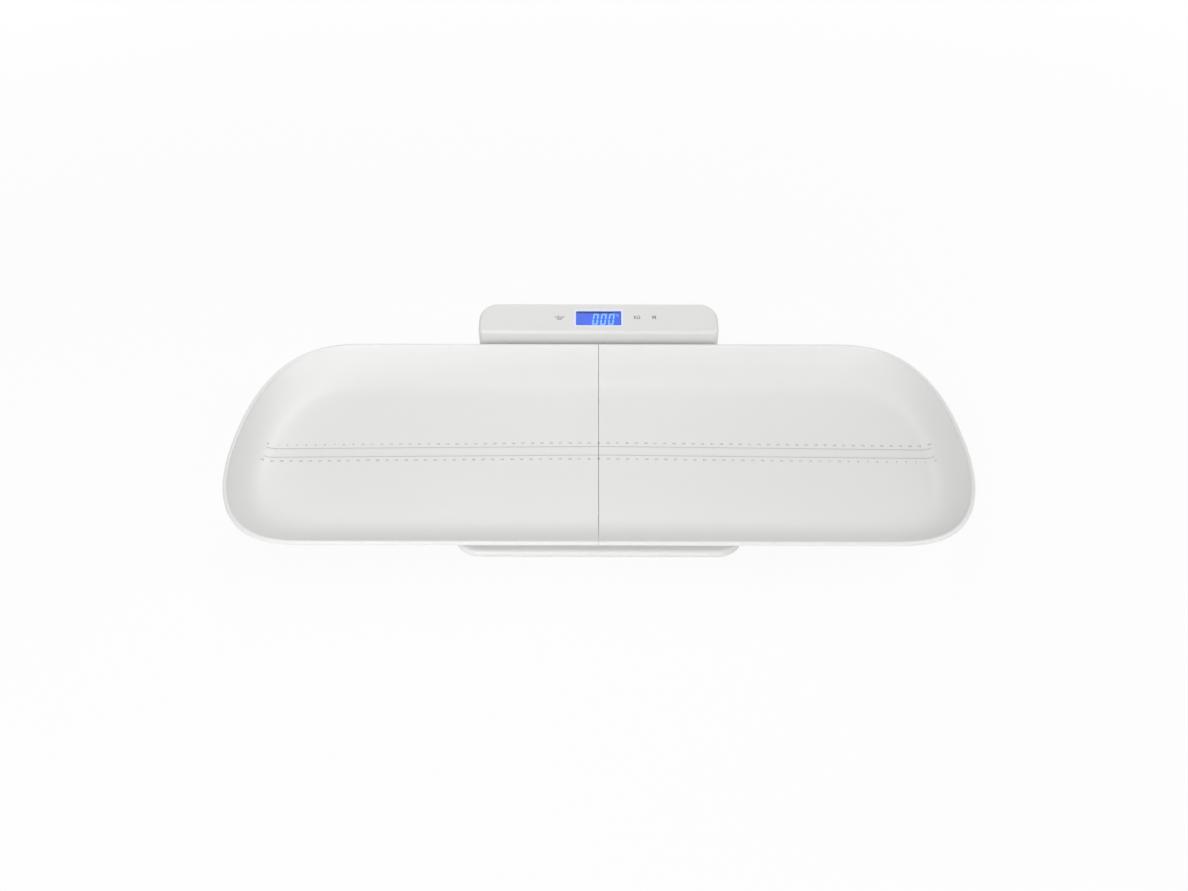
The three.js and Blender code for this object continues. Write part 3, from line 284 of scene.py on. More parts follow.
@dataclass(frozen=True)
class Finish:
    """One finish of the scale, and how its material is built.

    Args:
        name: The material's name.
        colour: The main colour, as six hex digits.
        tint: The colour that the clouding leans to.
        slot: The record's material slot, if it has one; not used.
        sheen: The kind of surface.
        roughness: The middle of the roughness.
        spread: How far the roughness varies.
        grain: The grain's size.
        depth: The grain's height.
        stretch: How much shorter the grain is along X; under 1 draws it out.
        wear: How much scuffing shows.
        coat: The weight of the clear top layer.
        glow: Strength of the light that it gives off.
    """

    name: str
    colour: str
    tint: str
    slot: str | None = None
    sheen: Sheen = Sheen.PLASTIC
    roughness: float = 0.35
    spread: float = 0.06
    grain: float = 0.0006
    depth: float = 0.00002
    stretch: float = 1.0
    wear: float = 0.2
    coat: float = 0.0
    glow: float = 0.0

    def material(self) -> bpy.types.Material:
        """Builds the finish's material, or returns it where it is built already.

        Returns:
            The material.
        """
        if self.name in BUILT:
            return BUILT[self.name]
        made = BUILT[self.name] = bpy.data.materials.new(self.name + "_finish")
        wiring = emptied(made)
        shader = wiring.add("ShaderNodeBsdfPrincipled")
        wiring.add("ShaderNodeOutputMaterial", {"Surface": shader.outputs[0]}).is_active_output = True
        sizes = {"Grain Size": self.grain, "Stretch": self.stretch}
        grain = wiring.add("ShaderNodeGroup", sizes, node_tree=GRAIN).outputs
        mask = wiring.put("ShaderNodeGroup", {"Amount": self.wear}, node_tree=WEAR)
        clouded = wiring.mixed(grain["Tone"], linear(self.colour), linear(self.tint))
        share = wiring.sum("MULTIPLY", mask, 0.25 * min(self.wear, 1.0))
        wiring.feed(shader, "Base Color", wiring.mixed(share, clouded, linear("9c9a96")))
        if self.sheen is Sheen.LIT:
            wiring.feed(shader, "Emission Color", clouded)
        roughness: object = self.roughness
        if self.sheen is not Sheen.CLEAR:
            swing = wiring.ranged(grain["Gloss"], (0.3, 0.7), about(self.roughness, self.spread))
            roughness = wiring.sum("ADD", swing, wiring.sum("MULTIPLY", mask, 0.25))
        wiring.feed(shader, "Roughness", roughness)
        relief = {"Strength": 0.6, "Distance": self.depth, "Height": grain["Height"]}
        wiring.feed(shader, "Normal", wiring.put("ShaderNodeBump", relief))
        for socket, value in self.constants().items():
            wiring.feed(shader, socket, value)
        return made

    def constants(self) -> dict[str, float]:
        """Lists what is the same all over the surface.

        Returns:
            The shader's input name to its value.
        """
        own = {
            Sheen.RUBBER: {"Specular IOR Level": 0.3},
            Sheen.METAL: {"Metallic": 1.0},
            Sheen.CLEAR: {"Transmission Weight": 1.0},
            Sheen.LIT: {"Emission Strength": self.glow},
        }
        shared = {"Metallic": 0.0, "IOR": 1.49, "Coat Weight": self.coat, "Coat Roughness": 0.12}
        return {**shared, **own.get(self.sheen, {})}


WHITE = Finish(
    "gloss_white_plastic", "e9e9e8", "e7e7e6", "white_plastic",
    roughness=0.34, spread=0.03, wear=0.0, coat=0.15,
)  # fmt: skip
# The console's cover and keys take a darker copy of the same white plastic: painted shade for the lesser
# light that the raised console catches.
CONSOLE_SHADED_WHITE = replace(WHITE, name="console_white_plastic", colour="e0e0df", tint="dededd")
TRAY_WHITE = replace(WHITE, name="tray_white_plastic", roughness=0.46, coat=0.0)
SHADED_KEY = replace(CONSOLE_SHADED_WHITE, name="key_plastic", slot="key_plastic")
INNER = Finish("inner_plastic", "d4d4cf", "cbcbc6", "inner_plastic", Sheen.PLASTIC, 0.5, 0.08, depth=0.00004)
LENS = Finish("window_plastic", "f4f8ff", "eef4ff", "window_plastic", Sheen.CLEAR, 0.02, 0.0, depth=0.000002)
DIGIT = Finish("lit_segment", "68aaf2", "72b2f6", None, Sheen.LIT, 0.4, 0.05, depth=0.0, glow=0.65)
# The bezel's faint pale blue light is a painted glow: the bezel is plastic, not a lamp.
BEZEL_GLOW = replace(DIGIT, name="window_halo", colour="dde6fb", tint="d6e1fb", glow=0.1)
FIELD = Finish(
    "display_field", "0650d0", "0853d4", "display_glass", Sheen.LIT, 0.3, 0.03, depth=0.0, glow=0.3
)
LAMP = Finish("backlight_blue", "5c8cff", "6f9aff", "backlight", Sheen.LIT, 0.5, 0.05, glow=0.4)
# A dark navy sheet along the display glass's top and sides: painted shade of the window's recess.
RECESS_SHADE = Finish("display_mask", "10206a", "152674", None, Sheen.PLASTIC, 0.4, 0.05, depth=0.0)
PAD = Finish(
    "grey_rubber", "8b8d8e", "7e8081", "grey_rubber", Sheen.RUBBER, 0.78, 0.08, 0.0004, 0.00008, wear=0.8
)
STRIP = Finish("conductive_rubber", "2a2b2d", "34353a", "conductive_rubber", Sheen.RUBBER, 0.7, 0.08)
LAMINATE = Finish("board_laminate", "1f6b3a", "2a7d49", "board_laminate", Sheen.PLASTIC, 0.42, 0.08, 0.0012)
BLACK = Finish("black_plastic", "1d1e20", "27282b", "black_plastic", Sheen.PLASTIC, 0.48, 0.08, wear=0.4)
SLEEVE = Finish("cable_sleeve", "232427", "2d2e32", "cable_sleeve", Sheen.RUBBER, 0.5, 0.08, 0.0004)
STEEL = Finish(
    "zinc_plated_steel", "b4b7ba", "a6aaae", "steel", Sheen.METAL, 0.32, 0.08, 0.0005, 0.00002, 0.06
)
TIN = Finish(
    "tinned_metal", "cdd0d0", "c0c4c5", "tinned_metal", Sheen.METAL, 0.24, 0.06, 0.0004, 0.00001, 0.2
)
CELL = Finish(
    "battery_sleeve", "3b6a96", "447aa8", "battery_sleeve", Sheen.PLASTIC, 0.34, 0.05, coat=0.3, wear=0.6
)
INK = Finish("grey_print", "6f7072", "77787a", None, Sheen.PLASTIC, 0.55, 0.05, depth=0.0, wear=0.0)
FAINT_INK = replace(INK, name="fine_print", colour="8e9092", tint="96989a")


# Shapes

# A box's faces, where its corners are counted along X, then Y, then Z
BOX_FACES = ((0, 2, 3, 1), (4, 5, 7, 6), (0, 1, 5, 4), (2, 6, 7, 3), (0, 4, 6, 2), (1, 3, 7, 5))


@contextmanager
def opened(mesh: bpy.types.Mesh) -> Iterator[bmesh.types.BMesh]:
    """Opens a mesh for work on its corners and faces, and writes it back.

    Args:
        mesh: The mesh to open.

    Returns:
        The mesh's corners and faces, for as long as the block runs.
    """
    worked = bmesh.new()
    worked.from_mesh(mesh)
    yield worked
    worked.to_mesh(mesh)
    worked.free()


def cleaned(mesh: bpy.types.Mesh) -> bpy.types.Mesh:
    """Joins a closed mesh's doubled corners and turns its faces outwards.

    Args:
        mesh: The mesh to clean.

    Returns:
        The mesh.
    """
    with opened(mesh) as worked:
        bmesh.ops.remove_doubles(worked, verts=worked.verts, dist=1e-7)
        bmesh.ops.recalc_face_normals(worked, faces=worked.faces)
    return mesh


def thing(name: str, content: bpy.types.ID) -> bpy.types.Object:
    """Puts a mesh, a text, a light or a camera into the scene, at the origin.

    Args:
        name: The object's name.
        content: What the object holds.

    Returns:
        The object.
    """
    made = bpy.data.objects.new(name, content)
    bpy.context.scene.collection.objects.link(made)
    return made


def circle(radius: float, steps: int, x: float = 0.0, y: float = 0.0) -> Plan:
    """Returns a circle's points, anticlockwise from +X."""
    turns = [2 * math.pi * i / steps for i in range(steps)]
    return [(x + radius * math.cos(t), y + radius * math.sin(t)) for t in turns]


def level(plan: Plan, z: float) -> list[Point]:
    """Returns a plan outline's points at one height."""
    return [(x, y, z) for x, y in plan]


def rounded(x: Span, y: Span, front: float, rear: float, inset: float = 0.0, steps: int = 14) -> Plan:
    """Makes a rectangle with round corners, pulled in by an inset.

    Args:
        x: Left and right ends.
        y: Front and rear ends.
        front: Radius of the two front corners.
        rear: Radius of the two rear corners.
        inset: How far the outline is pulled in.
        steps: Steps round each corner.

    Returns:
        The points, anticlockwise from the front right.
    """
    corners = [
        (x[1] - front, y[0] + front, front, -0.5),
        (x[1] - rear, y[1] - rear, rear, 0.0),
        (x[0] + rear, y[1] - rear, rear, 0.5),
        (x[0] + front, y[0] + front, front, 1.0),
    ]
    points: Plan = []
    for cx, cy, radius, start in corners:
        for step in range(steps + 1):
            turn = math.pi * (start + step / steps / 2)
            points.append((cx + (radius - inset) * math.cos(turn), cy + (radius - inset) * math.sin(turn)))
    return points


@dataclass
class Shape:
    """Corners and faces that are gathered before they become a piece.

    Args:
        corners: The points.
        faces: Each face as indexes of its corners, anticlockwise from outside.
    """

    corners: list[Point] = field(default_factory=list)
    faces: list[tuple[int, ...]] = field(default_factory=list)

    @classmethod
    def taken(cls, mesh: bpy.types.Mesh) -> "Shape":
        """Takes a mesh's corners and faces, and removes the mesh.

        Args:
            mesh: The mesh.

        Returns:
            Its shape.
        """
        shape = cls([tuple(v.co) for v in mesh.vertices], [tuple(p.vertices) for p in mesh.polygons])
        bpy.data.meshes.remove(mesh)
        return shape

    def add(self, corners: Iterable[Point], faces: Iterable[Sequence[int]]) -> "Shape":
        """Adds corners and the faces between them.

        Args:
            corners: The new points.
            faces: Faces, counted from the first of the new points.

        Returns:
            This shape.
        """
        start = len(self.corners)
        self.corners.extend(corners)
        self.faces.extend(tuple(start + i for i in face) for face in faces)
        return self

    def box(self, x: Span, y: Span, z: Span) -> "Shape":
        """Adds a box between two values on each axis and returns this shape."""
        return self.add([(a, b, c) for c in z for b in y for a in x], BOX_FACES)

    def loft(self, rings: Sequence[Sequence[Point]], capped: bool = True) -> "Shape":
        """Adds a closed body through rings of as many points each.

        Args:
            rings: The rings, from bottom to top, each anticlockwise from above.
            capped: Whether each end gets a flat cap; otherwise the last ring joins the first.

        Returns:
            This shape.
        """
        count, rows = len(rings[0]), len(rings)
        faces: list[tuple[int, ...]] = [tuple(range(count))[::-1]] if capped else []
        for row in range(rows - 1 if capped else rows):
            low, high = row * count, (row + 1) % rows * count
            for i in range(count):
                after = (i + 1) % count
                faces.append((low + i, low + after, high + after, high + i))
        if capped:
            faces.append(tuple(range((rows - 1) * count, rows * count)))
        return self.add([p for ring in rings for p in ring], faces)

    def slab(self, plan: Plan, z: Iterable[float]) -> "Shape":
        """Adds a plan outline, drawn out through some heights, and returns this shape."""
        return self.loft([level(plan, height) for height in z])

    def disc(self, radius: float, z: Span, x: float = 0.0, y: float = 0.0, steps: int = 48) -> "Shape":
        """Adds an upright cylinder and returns this shape."""
        return self.slab(circle(radius, steps, x, y), z)

    def lathe(self, profile: Sequence[tuple[float, float]], x: float, y: float, steps: int = 64) -> "Shape":
        """Adds a body turned about an upright line.

        Args:
            profile: Radius and height of each ring, in millimetres, from bottom to top.
            x: The line's place along X.
            y: The line's place along Y.
            steps: Points in each ring.

        Returns:
            This shape.
        """
        return self.loft([level(circle(radius * MM, steps, x, y), z * MM) for radius, z in profile])

    def moved(self, turn: Callable[[Point], Point]) -> "Shape":
        """Returns the same shape with every corner put through a function."""
        return Shape([turn(p) for p in self.corners], list(self.faces))

    def shifted(self, x: float, y: float, z: float = 0.0) -> "Shape":
        """Returns the same shape, shifted."""
        return self.moved(lambda p: (p[0] + x, p[1] + y, p[2] + z))

    def joined(self, other: "Shape") -> "Shape":
        """Adds another shape's corners and faces and returns this shape."""
        return self.add(other.corners, other.faces)

    def raw(self, name: str) -> bpy.types.Mesh:
        """Makes a mesh of the shape as it stands, without turning or joining anything.

        Args:
            name: The mesh's name.

        Returns:
            The mesh.
        """
        made = bpy.data.meshes.new(name)
        made.from_pydata(self.corners, [], self.faces)
        return made

    def piece(self, name: str) -> bpy.types.Object:
        """Makes a piece with its faces turned outwards.

        Args:
            name: The piece's name.

        Returns:
            The piece.
        """
        mesh = self.raw(name)
        mesh.validate()
        return thing(name, cleaned(mesh))


def baked(piece: bpy.types.Object) -> bpy.types.Object:
    """Turns a piece's modifiers into plain mesh.

    Args:
        piece: The piece.

    Returns:
        The same piece.
    """
    graph = bpy.context.evaluated_depsgraph_get()
    mesh = bpy.data.meshes.new_from_object(piece.evaluated_get(graph))
    piece.modifiers.clear()
    piece.data = mesh
    return piece


def carve(piece: bpy.types.Object, tool: Shape, operation: str = "DIFFERENCE") -> bpy.types.Object:
    """Cuts a shape out of a piece, or joins it on.

    Args:
        piece: The piece to change.
        tool: The shape to cut or join.
        operation: DIFFERENCE or UNION.

    Returns:
        The piece.
    """
    cutter = tool.piece(piece.name + "_tool")
    step = piece.modifiers.new("carve", "BOOLEAN")
    step.operation, step.object, step.solver = operation, cutter, "EXACT"
    step.use_self = True
    baked(piece)
    bpy.data.objects.remove(cutter)
    return piece


def soften(piece: bpy.types.Object, width: float, angle: float = 40) -> bpy.types.Object:
    """Rounds a piece's sharp edges.

    Args:
        piece: The piece to change.
        width: How far the rounding reaches from the edge.
        angle: Edges sharper than this many degrees are rounded.

    Returns:
        The piece.
    """
    step = piece.modifiers.new("soften", "BEVEL")
    step.width, step.segments = width, 2
    step.limit_method, step.angle_limit = "ANGLE", math.radians(angle)
    return baked(piece)


def dress(
    piece: bpy.types.Object, finish: Finish, body: str = "base", *stands_for: str, angle: float = 32
) -> bpy.types.Object:
    """Gives a piece its finish, shading and body, and hides the nodes that it stands for.

    Args:
        piece: The piece.
        finish: Its finish.
        body: The body that it rides on.
        stands_for: Nodes that it replaces.
        angle: Edges sharper than this many degrees stay sharp.

    Returns:
        The piece.
    """
    mesh = piece.data
    mesh.materials.clear()
    mesh.materials.append(finish.material())
    mesh.polygons.foreach_set("use_smooth", [True] * len(mesh.polygons))
    mesh.polygons.foreach_set("material_index", [0] * len(mesh.polygons))
    mesh.set_sharp_from_angle(angle=math.radians(angle))
    step = piece.modifiers.new("even_flats", "WEIGHTED_NORMAL")
    step.keep_sharp, step.weight = True, 90
    baked(piece)
    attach(piece, body)
    if stands_for:
        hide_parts(*stands_for)
    LOG.info("%s on %s: %d faces", piece.name, body, len(piece.data.polygons))
    return piece


def copied(node: str, name: str) -> bpy.types.Object:
    """Copies a node as a new piece with its loose triangles joined into clean faces.

    Args:
        node: The node to copy.
        name: The new piece's name.

    Returns:
        The copy, not yet dressed.
    """
    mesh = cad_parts[node].data.copy()
    mesh.name = name
    with opened(mesh) as worked:
        bmesh.ops.remove_doubles(worked, verts=worked.verts, dist=2e-6)
        flat = math.radians(0.6)
        bmesh.ops.dissolve_limit(worked, angle_limit=flat, verts=worked.verts, edges=worked.edges)
    return thing(name, mesh)


def refined(node: str, finish: Finish, edge: float, body: str = "base") -> bpy.types.Object:
    """Stands a copy with softened edges in for a node.

    Args:
        node: The node.
        finish: The copy's finish.
        edge: How far its edges are rounded, in millimetres.
        body: The body that it rides on.

    Returns:
        The copy.
    """
    return dress(soften(copied(node, node + "_refined"), edge * MM), finish, body, node)


def lettering(text: str, size: float, height: float, bold: float = 0.0) -> Shape:
    """Makes printed characters as thin closed solids, centred on the origin.

    Args:
        text: What is printed.
        size: The characters' size.
        height: How thick the print is.
        bold: How much the strokes are fattened.

    Returns:
        The characters' shape.
    """
    curve = bpy.data.curves.new("print", "FONT")
    curve.body, curve.size = text, size
    curve.align_x, curve.align_y = "CENTER", "CENTER"
    curve.extrude, curve.resolution_u, curve.offset = height / 2, 3, bold
    writer = thing("print", curve)
    graph = bpy.context.evaluated_depsgraph_get()
    shape = Shape.taken(cleaned(bpy.data.meshes.new_from_object(writer.evaluated_get(graph))))
    bpy.data.objects.remove(writer)
    bpy.data.curves.remove(curve)
    return shape


# Repeats and rules, as geometry trees


def ended(
    wiring: Wiring, given: bpy.types.Node, result: bpy.types.Node, geometry: bpy.types.NodeSocket
) -> bpy.types.NodeTree:
    """Ends a geometry tree: its instances are made real and get the finish that comes in.

    Args:
        wiring: The tree's wiring.
        given: Its input node.
        result: Its output node.
        geometry: What the tree has made.

    Returns:
        The tree.
    """
    real = wiring.put("GeometryNodeRealizeInstances", {0: geometry})
    feeds = {"Geometry": real, "Material": given.outputs["Finish"]}
    wiring.feed(result, "Geometry", wiring.put("GeometryNodeSetMaterial", feeds))
    return wiring.tree


def make_bar_tree() -> bpy.types.NodeTree:
    """Builds a row of bars with every fifth and every tenth longer, for ruler ticks and grip ridges.

    Returns:
        A geometry tree.
    """
    inputs = {
        "Count": 11, "First": 0, "Pitch": 0.001, "Width": 0.0001, "Height": 0.0001,
        "Short": 0.001, "Middle": 0.002, "Long": 0.003, "Finish": MATERIAL,
    }  # fmt: skip
    wiring, given, result = new_tree("bar_row", "GeometryNodeTree", inputs, ["Geometry"])
    side, put = given.outputs, wiring.put
    row = put("GeometryNodeMeshLine", {"Count": side["Count"], "Offset": wiring.vector(side["Pitch"])})
    bar = put("GeometryNodeMeshCube", {"Size": wiring.vector(side["Width"], 1.0, side["Height"])})
    ahead = put("GeometryNodeTransform", {"Geometry": bar, "Translation": (0, 0.5, 0)})
    number = wiring.sum("ADD", put("GeometryNodeInputIndex"), side["First"])
    reach: object = side["Short"]
    for every, socket in ((5, "Middle"), (10, "Long")):
        rest = wiring.sum("MODULO", number, float(every))
        hit = put("FunctionNodeCompare", {"A": rest, "B": 0.5}, operation="LESS_THAN")
        reach = put("GeometryNodeSwitch", {0: hit, 1: reach, 2: side[socket]}, input_type="FLOAT")
    feeds = {"Points": row, "Instance": ahead, "Scale": wiring.vector(1.0, reach, 1.0)}
    return ended(wiring, given, result, put("GeometryNodeInstanceOnPoints", feeds))


def make_ring_tree() -> bpy.types.NodeTree:
    """Builds bars set round a circle, pointing outwards, for the foot pads' grips.

    Returns:
        A geometry tree.
    """
    inputs = {
        "Count": 24, "Radius": 0.01, "Length": 0.002, "Width": 0.001, "Height": 0.0004, "Finish": MATERIAL,
    }  # fmt: skip
    wiring, given, result = new_tree("bars_round", "GeometryNodeTree", inputs, ["Geometry"])
    side, put = given.outputs, wiring.put
    ring = put("GeometryNodeMeshCircle", {"Vertices": side["Count"], "Radius": side["Radius"]})
    bar = put("GeometryNodeMeshCube", {"Size": wiring.vector(side["Length"], side["Width"], side["Height"])})
    place = wiring.add("ShaderNodeSeparateXYZ", {0: put("GeometryNodeInputPosition")}).outputs
    facing = wiring.vector(0.0, 0.0, wiring.sum("ARCTAN2", place["Y"], place["X"]))
    feeds = {"Points": ring, "Instance": bar, "Rotation": facing}
    return ended(wiring, given, result, put("GeometryNodeInstanceOnPoints", feeds))


def make_tray_tree() -> bpy.types.NodeTree:
    """Builds the rule that bends a half tray into shape.

    It takes a mesh whose X is the way round the outline, -1 at the front of the end and 1 at its
    rear, up to 2 either way at the seam, whose Y is the inset from the rim and whose Z is the
    height. The end is a superellipse, and the floor falls from the seam while the rim stays level.

    Returns:
        A geometry tree.
    """
    inputs = {
        "Geometry": GEOMETRY, "Half Length": 0.375, "Half Depth": 0.161, "Straight": 0.265,
        "Seam": 0.0001, "End Fullness": 2.9, "Corner Fullness": 2.3, "Fall": 0.012,
        "Rim Height": RIM_TOP, "Floor Height": FLOOR_TOP, "Side": 1.0, "Finish": MATERIAL,
    }  # fmt: skip
    wiring, given, result = new_tree("half_tray_rule", "GeometryNodeTree", inputs, ["Geometry"])
    side, do = given.outputs, wiring.sum
    apart = wiring.add("ShaderNodeSeparateXYZ", {0: wiring.put("GeometryNodeInputPosition")})
    way, inset, height = apart.outputs
    far = do("ABSOLUTE", way)
    turn = do("MULTIPLY", do("MINIMUM", far, 1.0), math.pi / 2)
    beyond = do("MAXIMUM", do("SUBTRACT", far, 1.0), 0.0)
    near = do("MAXIMUM", do("COSINE", turn), 0.0)
    end_share = do("POWER", near, do("DIVIDE", 2.0, side["End Fullness"]))
    side_share = do("POWER", do("SINE", turn), do("DIVIDE", 2.0, side["Corner Fullness"]))
    end_reach = do("SUBTRACT", do("SUBTRACT", side["Half Length"], side["Straight"]), inset)
    run = do("SUBTRACT", side["Straight"], side["Seam"])
    straight = do("SUBTRACT", side["Straight"], do("MULTIPLY", run, beyond))
    x = do("ADD", straight, do("MULTIPLY", end_reach, end_share))
    depth = do("MULTIPLY", do("SUBTRACT", side["Half Depth"], inset), side_share)
    y = do("MULTIPLY", depth, do("SIGN", way))
    whole = do("SUBTRACT", side["Rim Height"], side["Floor Height"])
    room = do("DIVIDE", do("SUBTRACT", side["Rim Height"], height), whole)
    z = do("SUBTRACT", height, do("MULTIPLY", do("MULTIPLY", side["Fall"], x), room))
    made = wiring.vector(do("MULTIPLY", x, side["Side"]), do("ADD", y, TRAY_Y), z)
    bent = wiring.put("GeometryNodeSetPosition", {"Geometry": side["Geometry"], "Position": made})
    return ended(wiring, given, result, bent)


BAR_TREE = make_bar_tree()
RING_TREE = make_ring_tree()
TRAY_TREE = make_tray_tree()


def grown(
    name: str,
    tree: bpy.types.NodeTree,
    finish: Finish,
    sizes: dict[str, float],
    start: Shape | None = None,
    place: Callable[[Vector], Sequence[float]] | None = None,
) -> bpy.types.Object:
    """Runs a geometry tree and keeps its result as a plain mesh with its faces outwards.

    Args:
        name: The piece's name.
        tree: The geometry tree.
        finish: The finish that the tree sets.
        sizes: Input name to value.
        start: The shape that the tree changes, or None where it makes its own.
        place: Takes each point to its place, or None where it stays.

    Returns:
        The piece, without modifiers.
    """
    piece = thing(name, (start or Shape()).raw(name))
    step = piece.modifiers.new("rule", "NODES")
    step.node_group = tree
    values = {**sizes, "Finish": finish.material()}
    for item in tree.interface.items_tree:
        if item.item_type == "SOCKET" and item.in_out == "INPUT" and item.name in values:
            step[item.identifier] = values[item.name]
    baked(piece)
    if place:
        for vertex in piece.data.vertices:
            vertex.co = place(vertex.co)
    cleaned(piece.data)
    return piece


# Tray


class Side(Enum):
    """The two halves of the tray."""

    LEFT = -1
    RIGHT = 1

    @property
    def word(self) -> str:
        """The half's name in lower case."""
        return self.name.lower()

    def span(self, near: float, far: float) -> Span:
        """Returns a stretch along X on this side, from its distances to the middle."""
        return (near, far) if self is Side.RIGHT else (-far, -near)


@dataclass
class Tray:
    """The two halves of the tray: shells, runners under them and the seam's joints."""

    half_length: float = 375 * MM
    half_depth: float = 161 * MM
    straight: float = 265 * MM
    seam: float = 0.25 * MM
    end_fullness: float = 2.9
    corner_fullness: float = 2.3
    slope_width: float = 54 * MM
    end_slope_width: float = 30 * MM
    side_curve: float = 2.25
    end_curve: float = 2.1
    rim_width: float = 4.5 * MM
    rim_skirt: float = 0.6 * MM
    skirt_wall: float = 1.8 * MM
    wall: float = 3 * MM
    floor_fall: float = 4.1 * MM
    end_steps: int = 56
    straight_steps: int = 6
    slope_steps: int = 22
    crown_steps: int = 12
    rib_offset: float = 95 * MM
    rib_end: float = 220 * MM
    rib_half: float = 1 * MM
    rib_foot: float = 1.8 * MM
    rib_root: float = 28.4 * MM
    rib_fall: float = 1.12
    rail_start: float = 20 * MM
    rail_end: float = 130 * MM
    rail_root: float = 28 * MM
    web_half: float = 2 * MM
    rail_half: float = 6 * MM
    rail_height: float = 2.4 * MM
    tongue_offset: float = 31 * MM
    tongue_half: float = 15 * MM
    tongue_reach: float = 12 * MM
    tongue_top: float = 27.7 * MM
    tongue_thick: float = 1.8 * MM
    tongue_root: float = 28.3 * MM
    tongue_gap: float = 0.5 * MM
    staple: float = 1.4 * MM

    @property
    def fall(self) -> float:
        """How steeply the floor falls from the seam to its end."""
        return self.floor_fall / (self.half_length - self.rim_width - self.end_slope_width)

    def slope_at(self, side_share: float) -> tuple[float, float]:
        """Gives the inner slope's width and curve, from the middle of the end (0) to the side (1)."""
        width = self.end_slope_width + (self.slope_width - self.end_slope_width) * side_share
        return width, self.end_curve + (self.side_curve - self.end_curve) * side_share

    def section(self, way: float) -> list[tuple[float, float]]:
        """Lists the section at one place, from the floor's edge over the rim to the underside.

        Args:
            way: How far round the outline the place lies, 0 in the middle of the end.

        Returns:
            Inset from the rim's outside, and height.
        """
        width, curve = self.slope_at(math.sin(min(abs(way), 1.0) * math.pi / 2) ** 2)
        crown = self.rim_width / 2
        crown_z = RIM_TOP - crown
        drop = crown_z - FLOOR_TOP
        inside, outside = [], []
        for i in range(self.slope_steps + 1):
            share = i / self.slope_steps
            inset = self.rim_width + share * width
            z = FLOOR_TOP + drop * (1 - share) ** curve
            slope = curve * drop / width * (1 - share) ** (curve - 1)
            length = math.hypot(1, slope)
            inside.append((inset, z))
            outside.append((inset - self.wall * slope / length, z - self.wall / length))
        turns = [math.pi * i / self.crown_steps for i in range(1, self.crown_steps + 1)]
        arc = [(crown + crown * math.cos(t), crown_z + crown * math.sin(t)) for t in turns]
        skirt_z = crown_z - self.rim_skirt
        return inside[::-1] + arc + [(0.0, skirt_z), (self.skirt_wall, skirt_z)] + outside

    def shell(self, side: Side) -> bpy.types.Object:
        """Builds one half's shell by the tray's rule.

        Args:
            side: Which half.

        Returns:
            The shell's piece.
        """
        ways = [-2 + i / self.straight_steps for i in range(self.straight_steps)]
        ways += [-1 + i / self.end_steps for i in range(2 * self.end_steps)]
        ways += [1 + i / self.straight_steps for i in range(self.straight_steps + 1)]
        sections = [self.section(way) for way in ways]
        rows, count = len(ways), len(sections[0])
        quads = [
            (i * count + j, i * count + j + 1, (i + 1) * count + j + 1, (i + 1) * count + j)
            for i in range(rows - 1)
            for j in range(count - 1)
        ]
        floor = tuple(i * count for i in range(rows))
        under = tuple(i * count + count - 1 for i in range(rows))
        seam = tuple(range(count)) + tuple((rows - 1) * count + j for j in reversed(range(count)))
        corners = [(way, inset, z) for way, section in zip(ways, sections) for inset, z in section]
        sizes = {
            "Half Length": self.half_length,
            "Half Depth": self.half_depth,
            "Straight": self.straight,
            "Seam": self.seam,
            "End Fullness": self.end_fullness,
            "Corner Fullness": self.corner_fullness,
            "Fall": self.fall,
            "Side": float(side.value),
        }
        shape = Shape().add(corners, [*quads, floor, under, seam])
        return grown(f"tray_{side.word}_shell", TRAY_TREE, TRAY_WHITE, sizes, shape)

    def runners(self, side: Side) -> Shape:
        """Lays out the rails and ribs under one half.

        Args:
            side: Which half.

        Returns:
            Their shape.
        """
        head, low = DECK_UNDER - FIT, DECK_TOP + self.rib_foot
        reach = side.span(self.rail_start, self.rail_end)
        ends = side.span(self.rail_start, self.rib_end)
        tops = [self.rib_root - self.fall * self.rib_fall * abs(x) for x in ends]
        shape = Shape()
        for y, rib_y in zip(about(TRAY_Y, RAIL_OFFSET), about(TRAY_Y, self.rib_offset)):
            web_z = (head - FIT, self.rail_root - self.fall * self.rail_end)
            shape.box(reach, about(y, self.web_half), web_z)
            shape.box(reach, about(y, self.rail_half), (head - self.rail_height, head))
            corners = [
                (x, across, z)
                for heights in ((low, low), tops)
                for across in about(rib_y, self.rib_half)
                for x, z in zip(ends, heights)
            ]
            shape.add(corners, BOX_FACES)
        return shape

    def joints(self, side: Side) -> Shape:
        """Lays out the seam's tongues, on the left half, or the staples that take them.

        Args:
            side: Which half.

        Returns:
            Their shape.
        """
        shape = Shape()
        low, high = self.tongue_top - self.tongue_thick, self.tongue_top
        bridge = (low - FIT - self.staple, low - FIT)
        inner = self.tongue_half + self.tongue_gap
        for y in about(TRAY_Y, self.tongue_offset):
            if side is Side.LEFT:
                tongue = about(y, self.tongue_half)
                shape.box(about(0.0, self.tongue_reach), tongue, (low, high))
                shape.box((-self.tongue_reach, -self.tongue_gap), tongue, (high - FIT, self.tongue_root))
                continue
            reach = (self.tongue_gap, self.tongue_reach)
            shape.box(reach, about(y, inner + self.staple), bridge)
            for cheek in about(y, inner + self.staple / 2):
                shape.box(reach, about(cheek, self.staple / 2), (bridge[0], self.tongue_root))
        return shape

    def build(self) -> None:
        """Builds and dresses both halves."""
        for side in Side:
            body = f"tray_{side.word}"
            dress(self.shell(side), TRAY_WHITE, body, body, angle=50)
            dress(soften(self.runners(side).piece(f"{body}_rails"), 0.3 * MM), TRAY_WHITE, body)
            dress(soften(self.joints(side).piece(f"{body}_seam_joints"), 0.25 * MM), TRAY_WHITE, body)

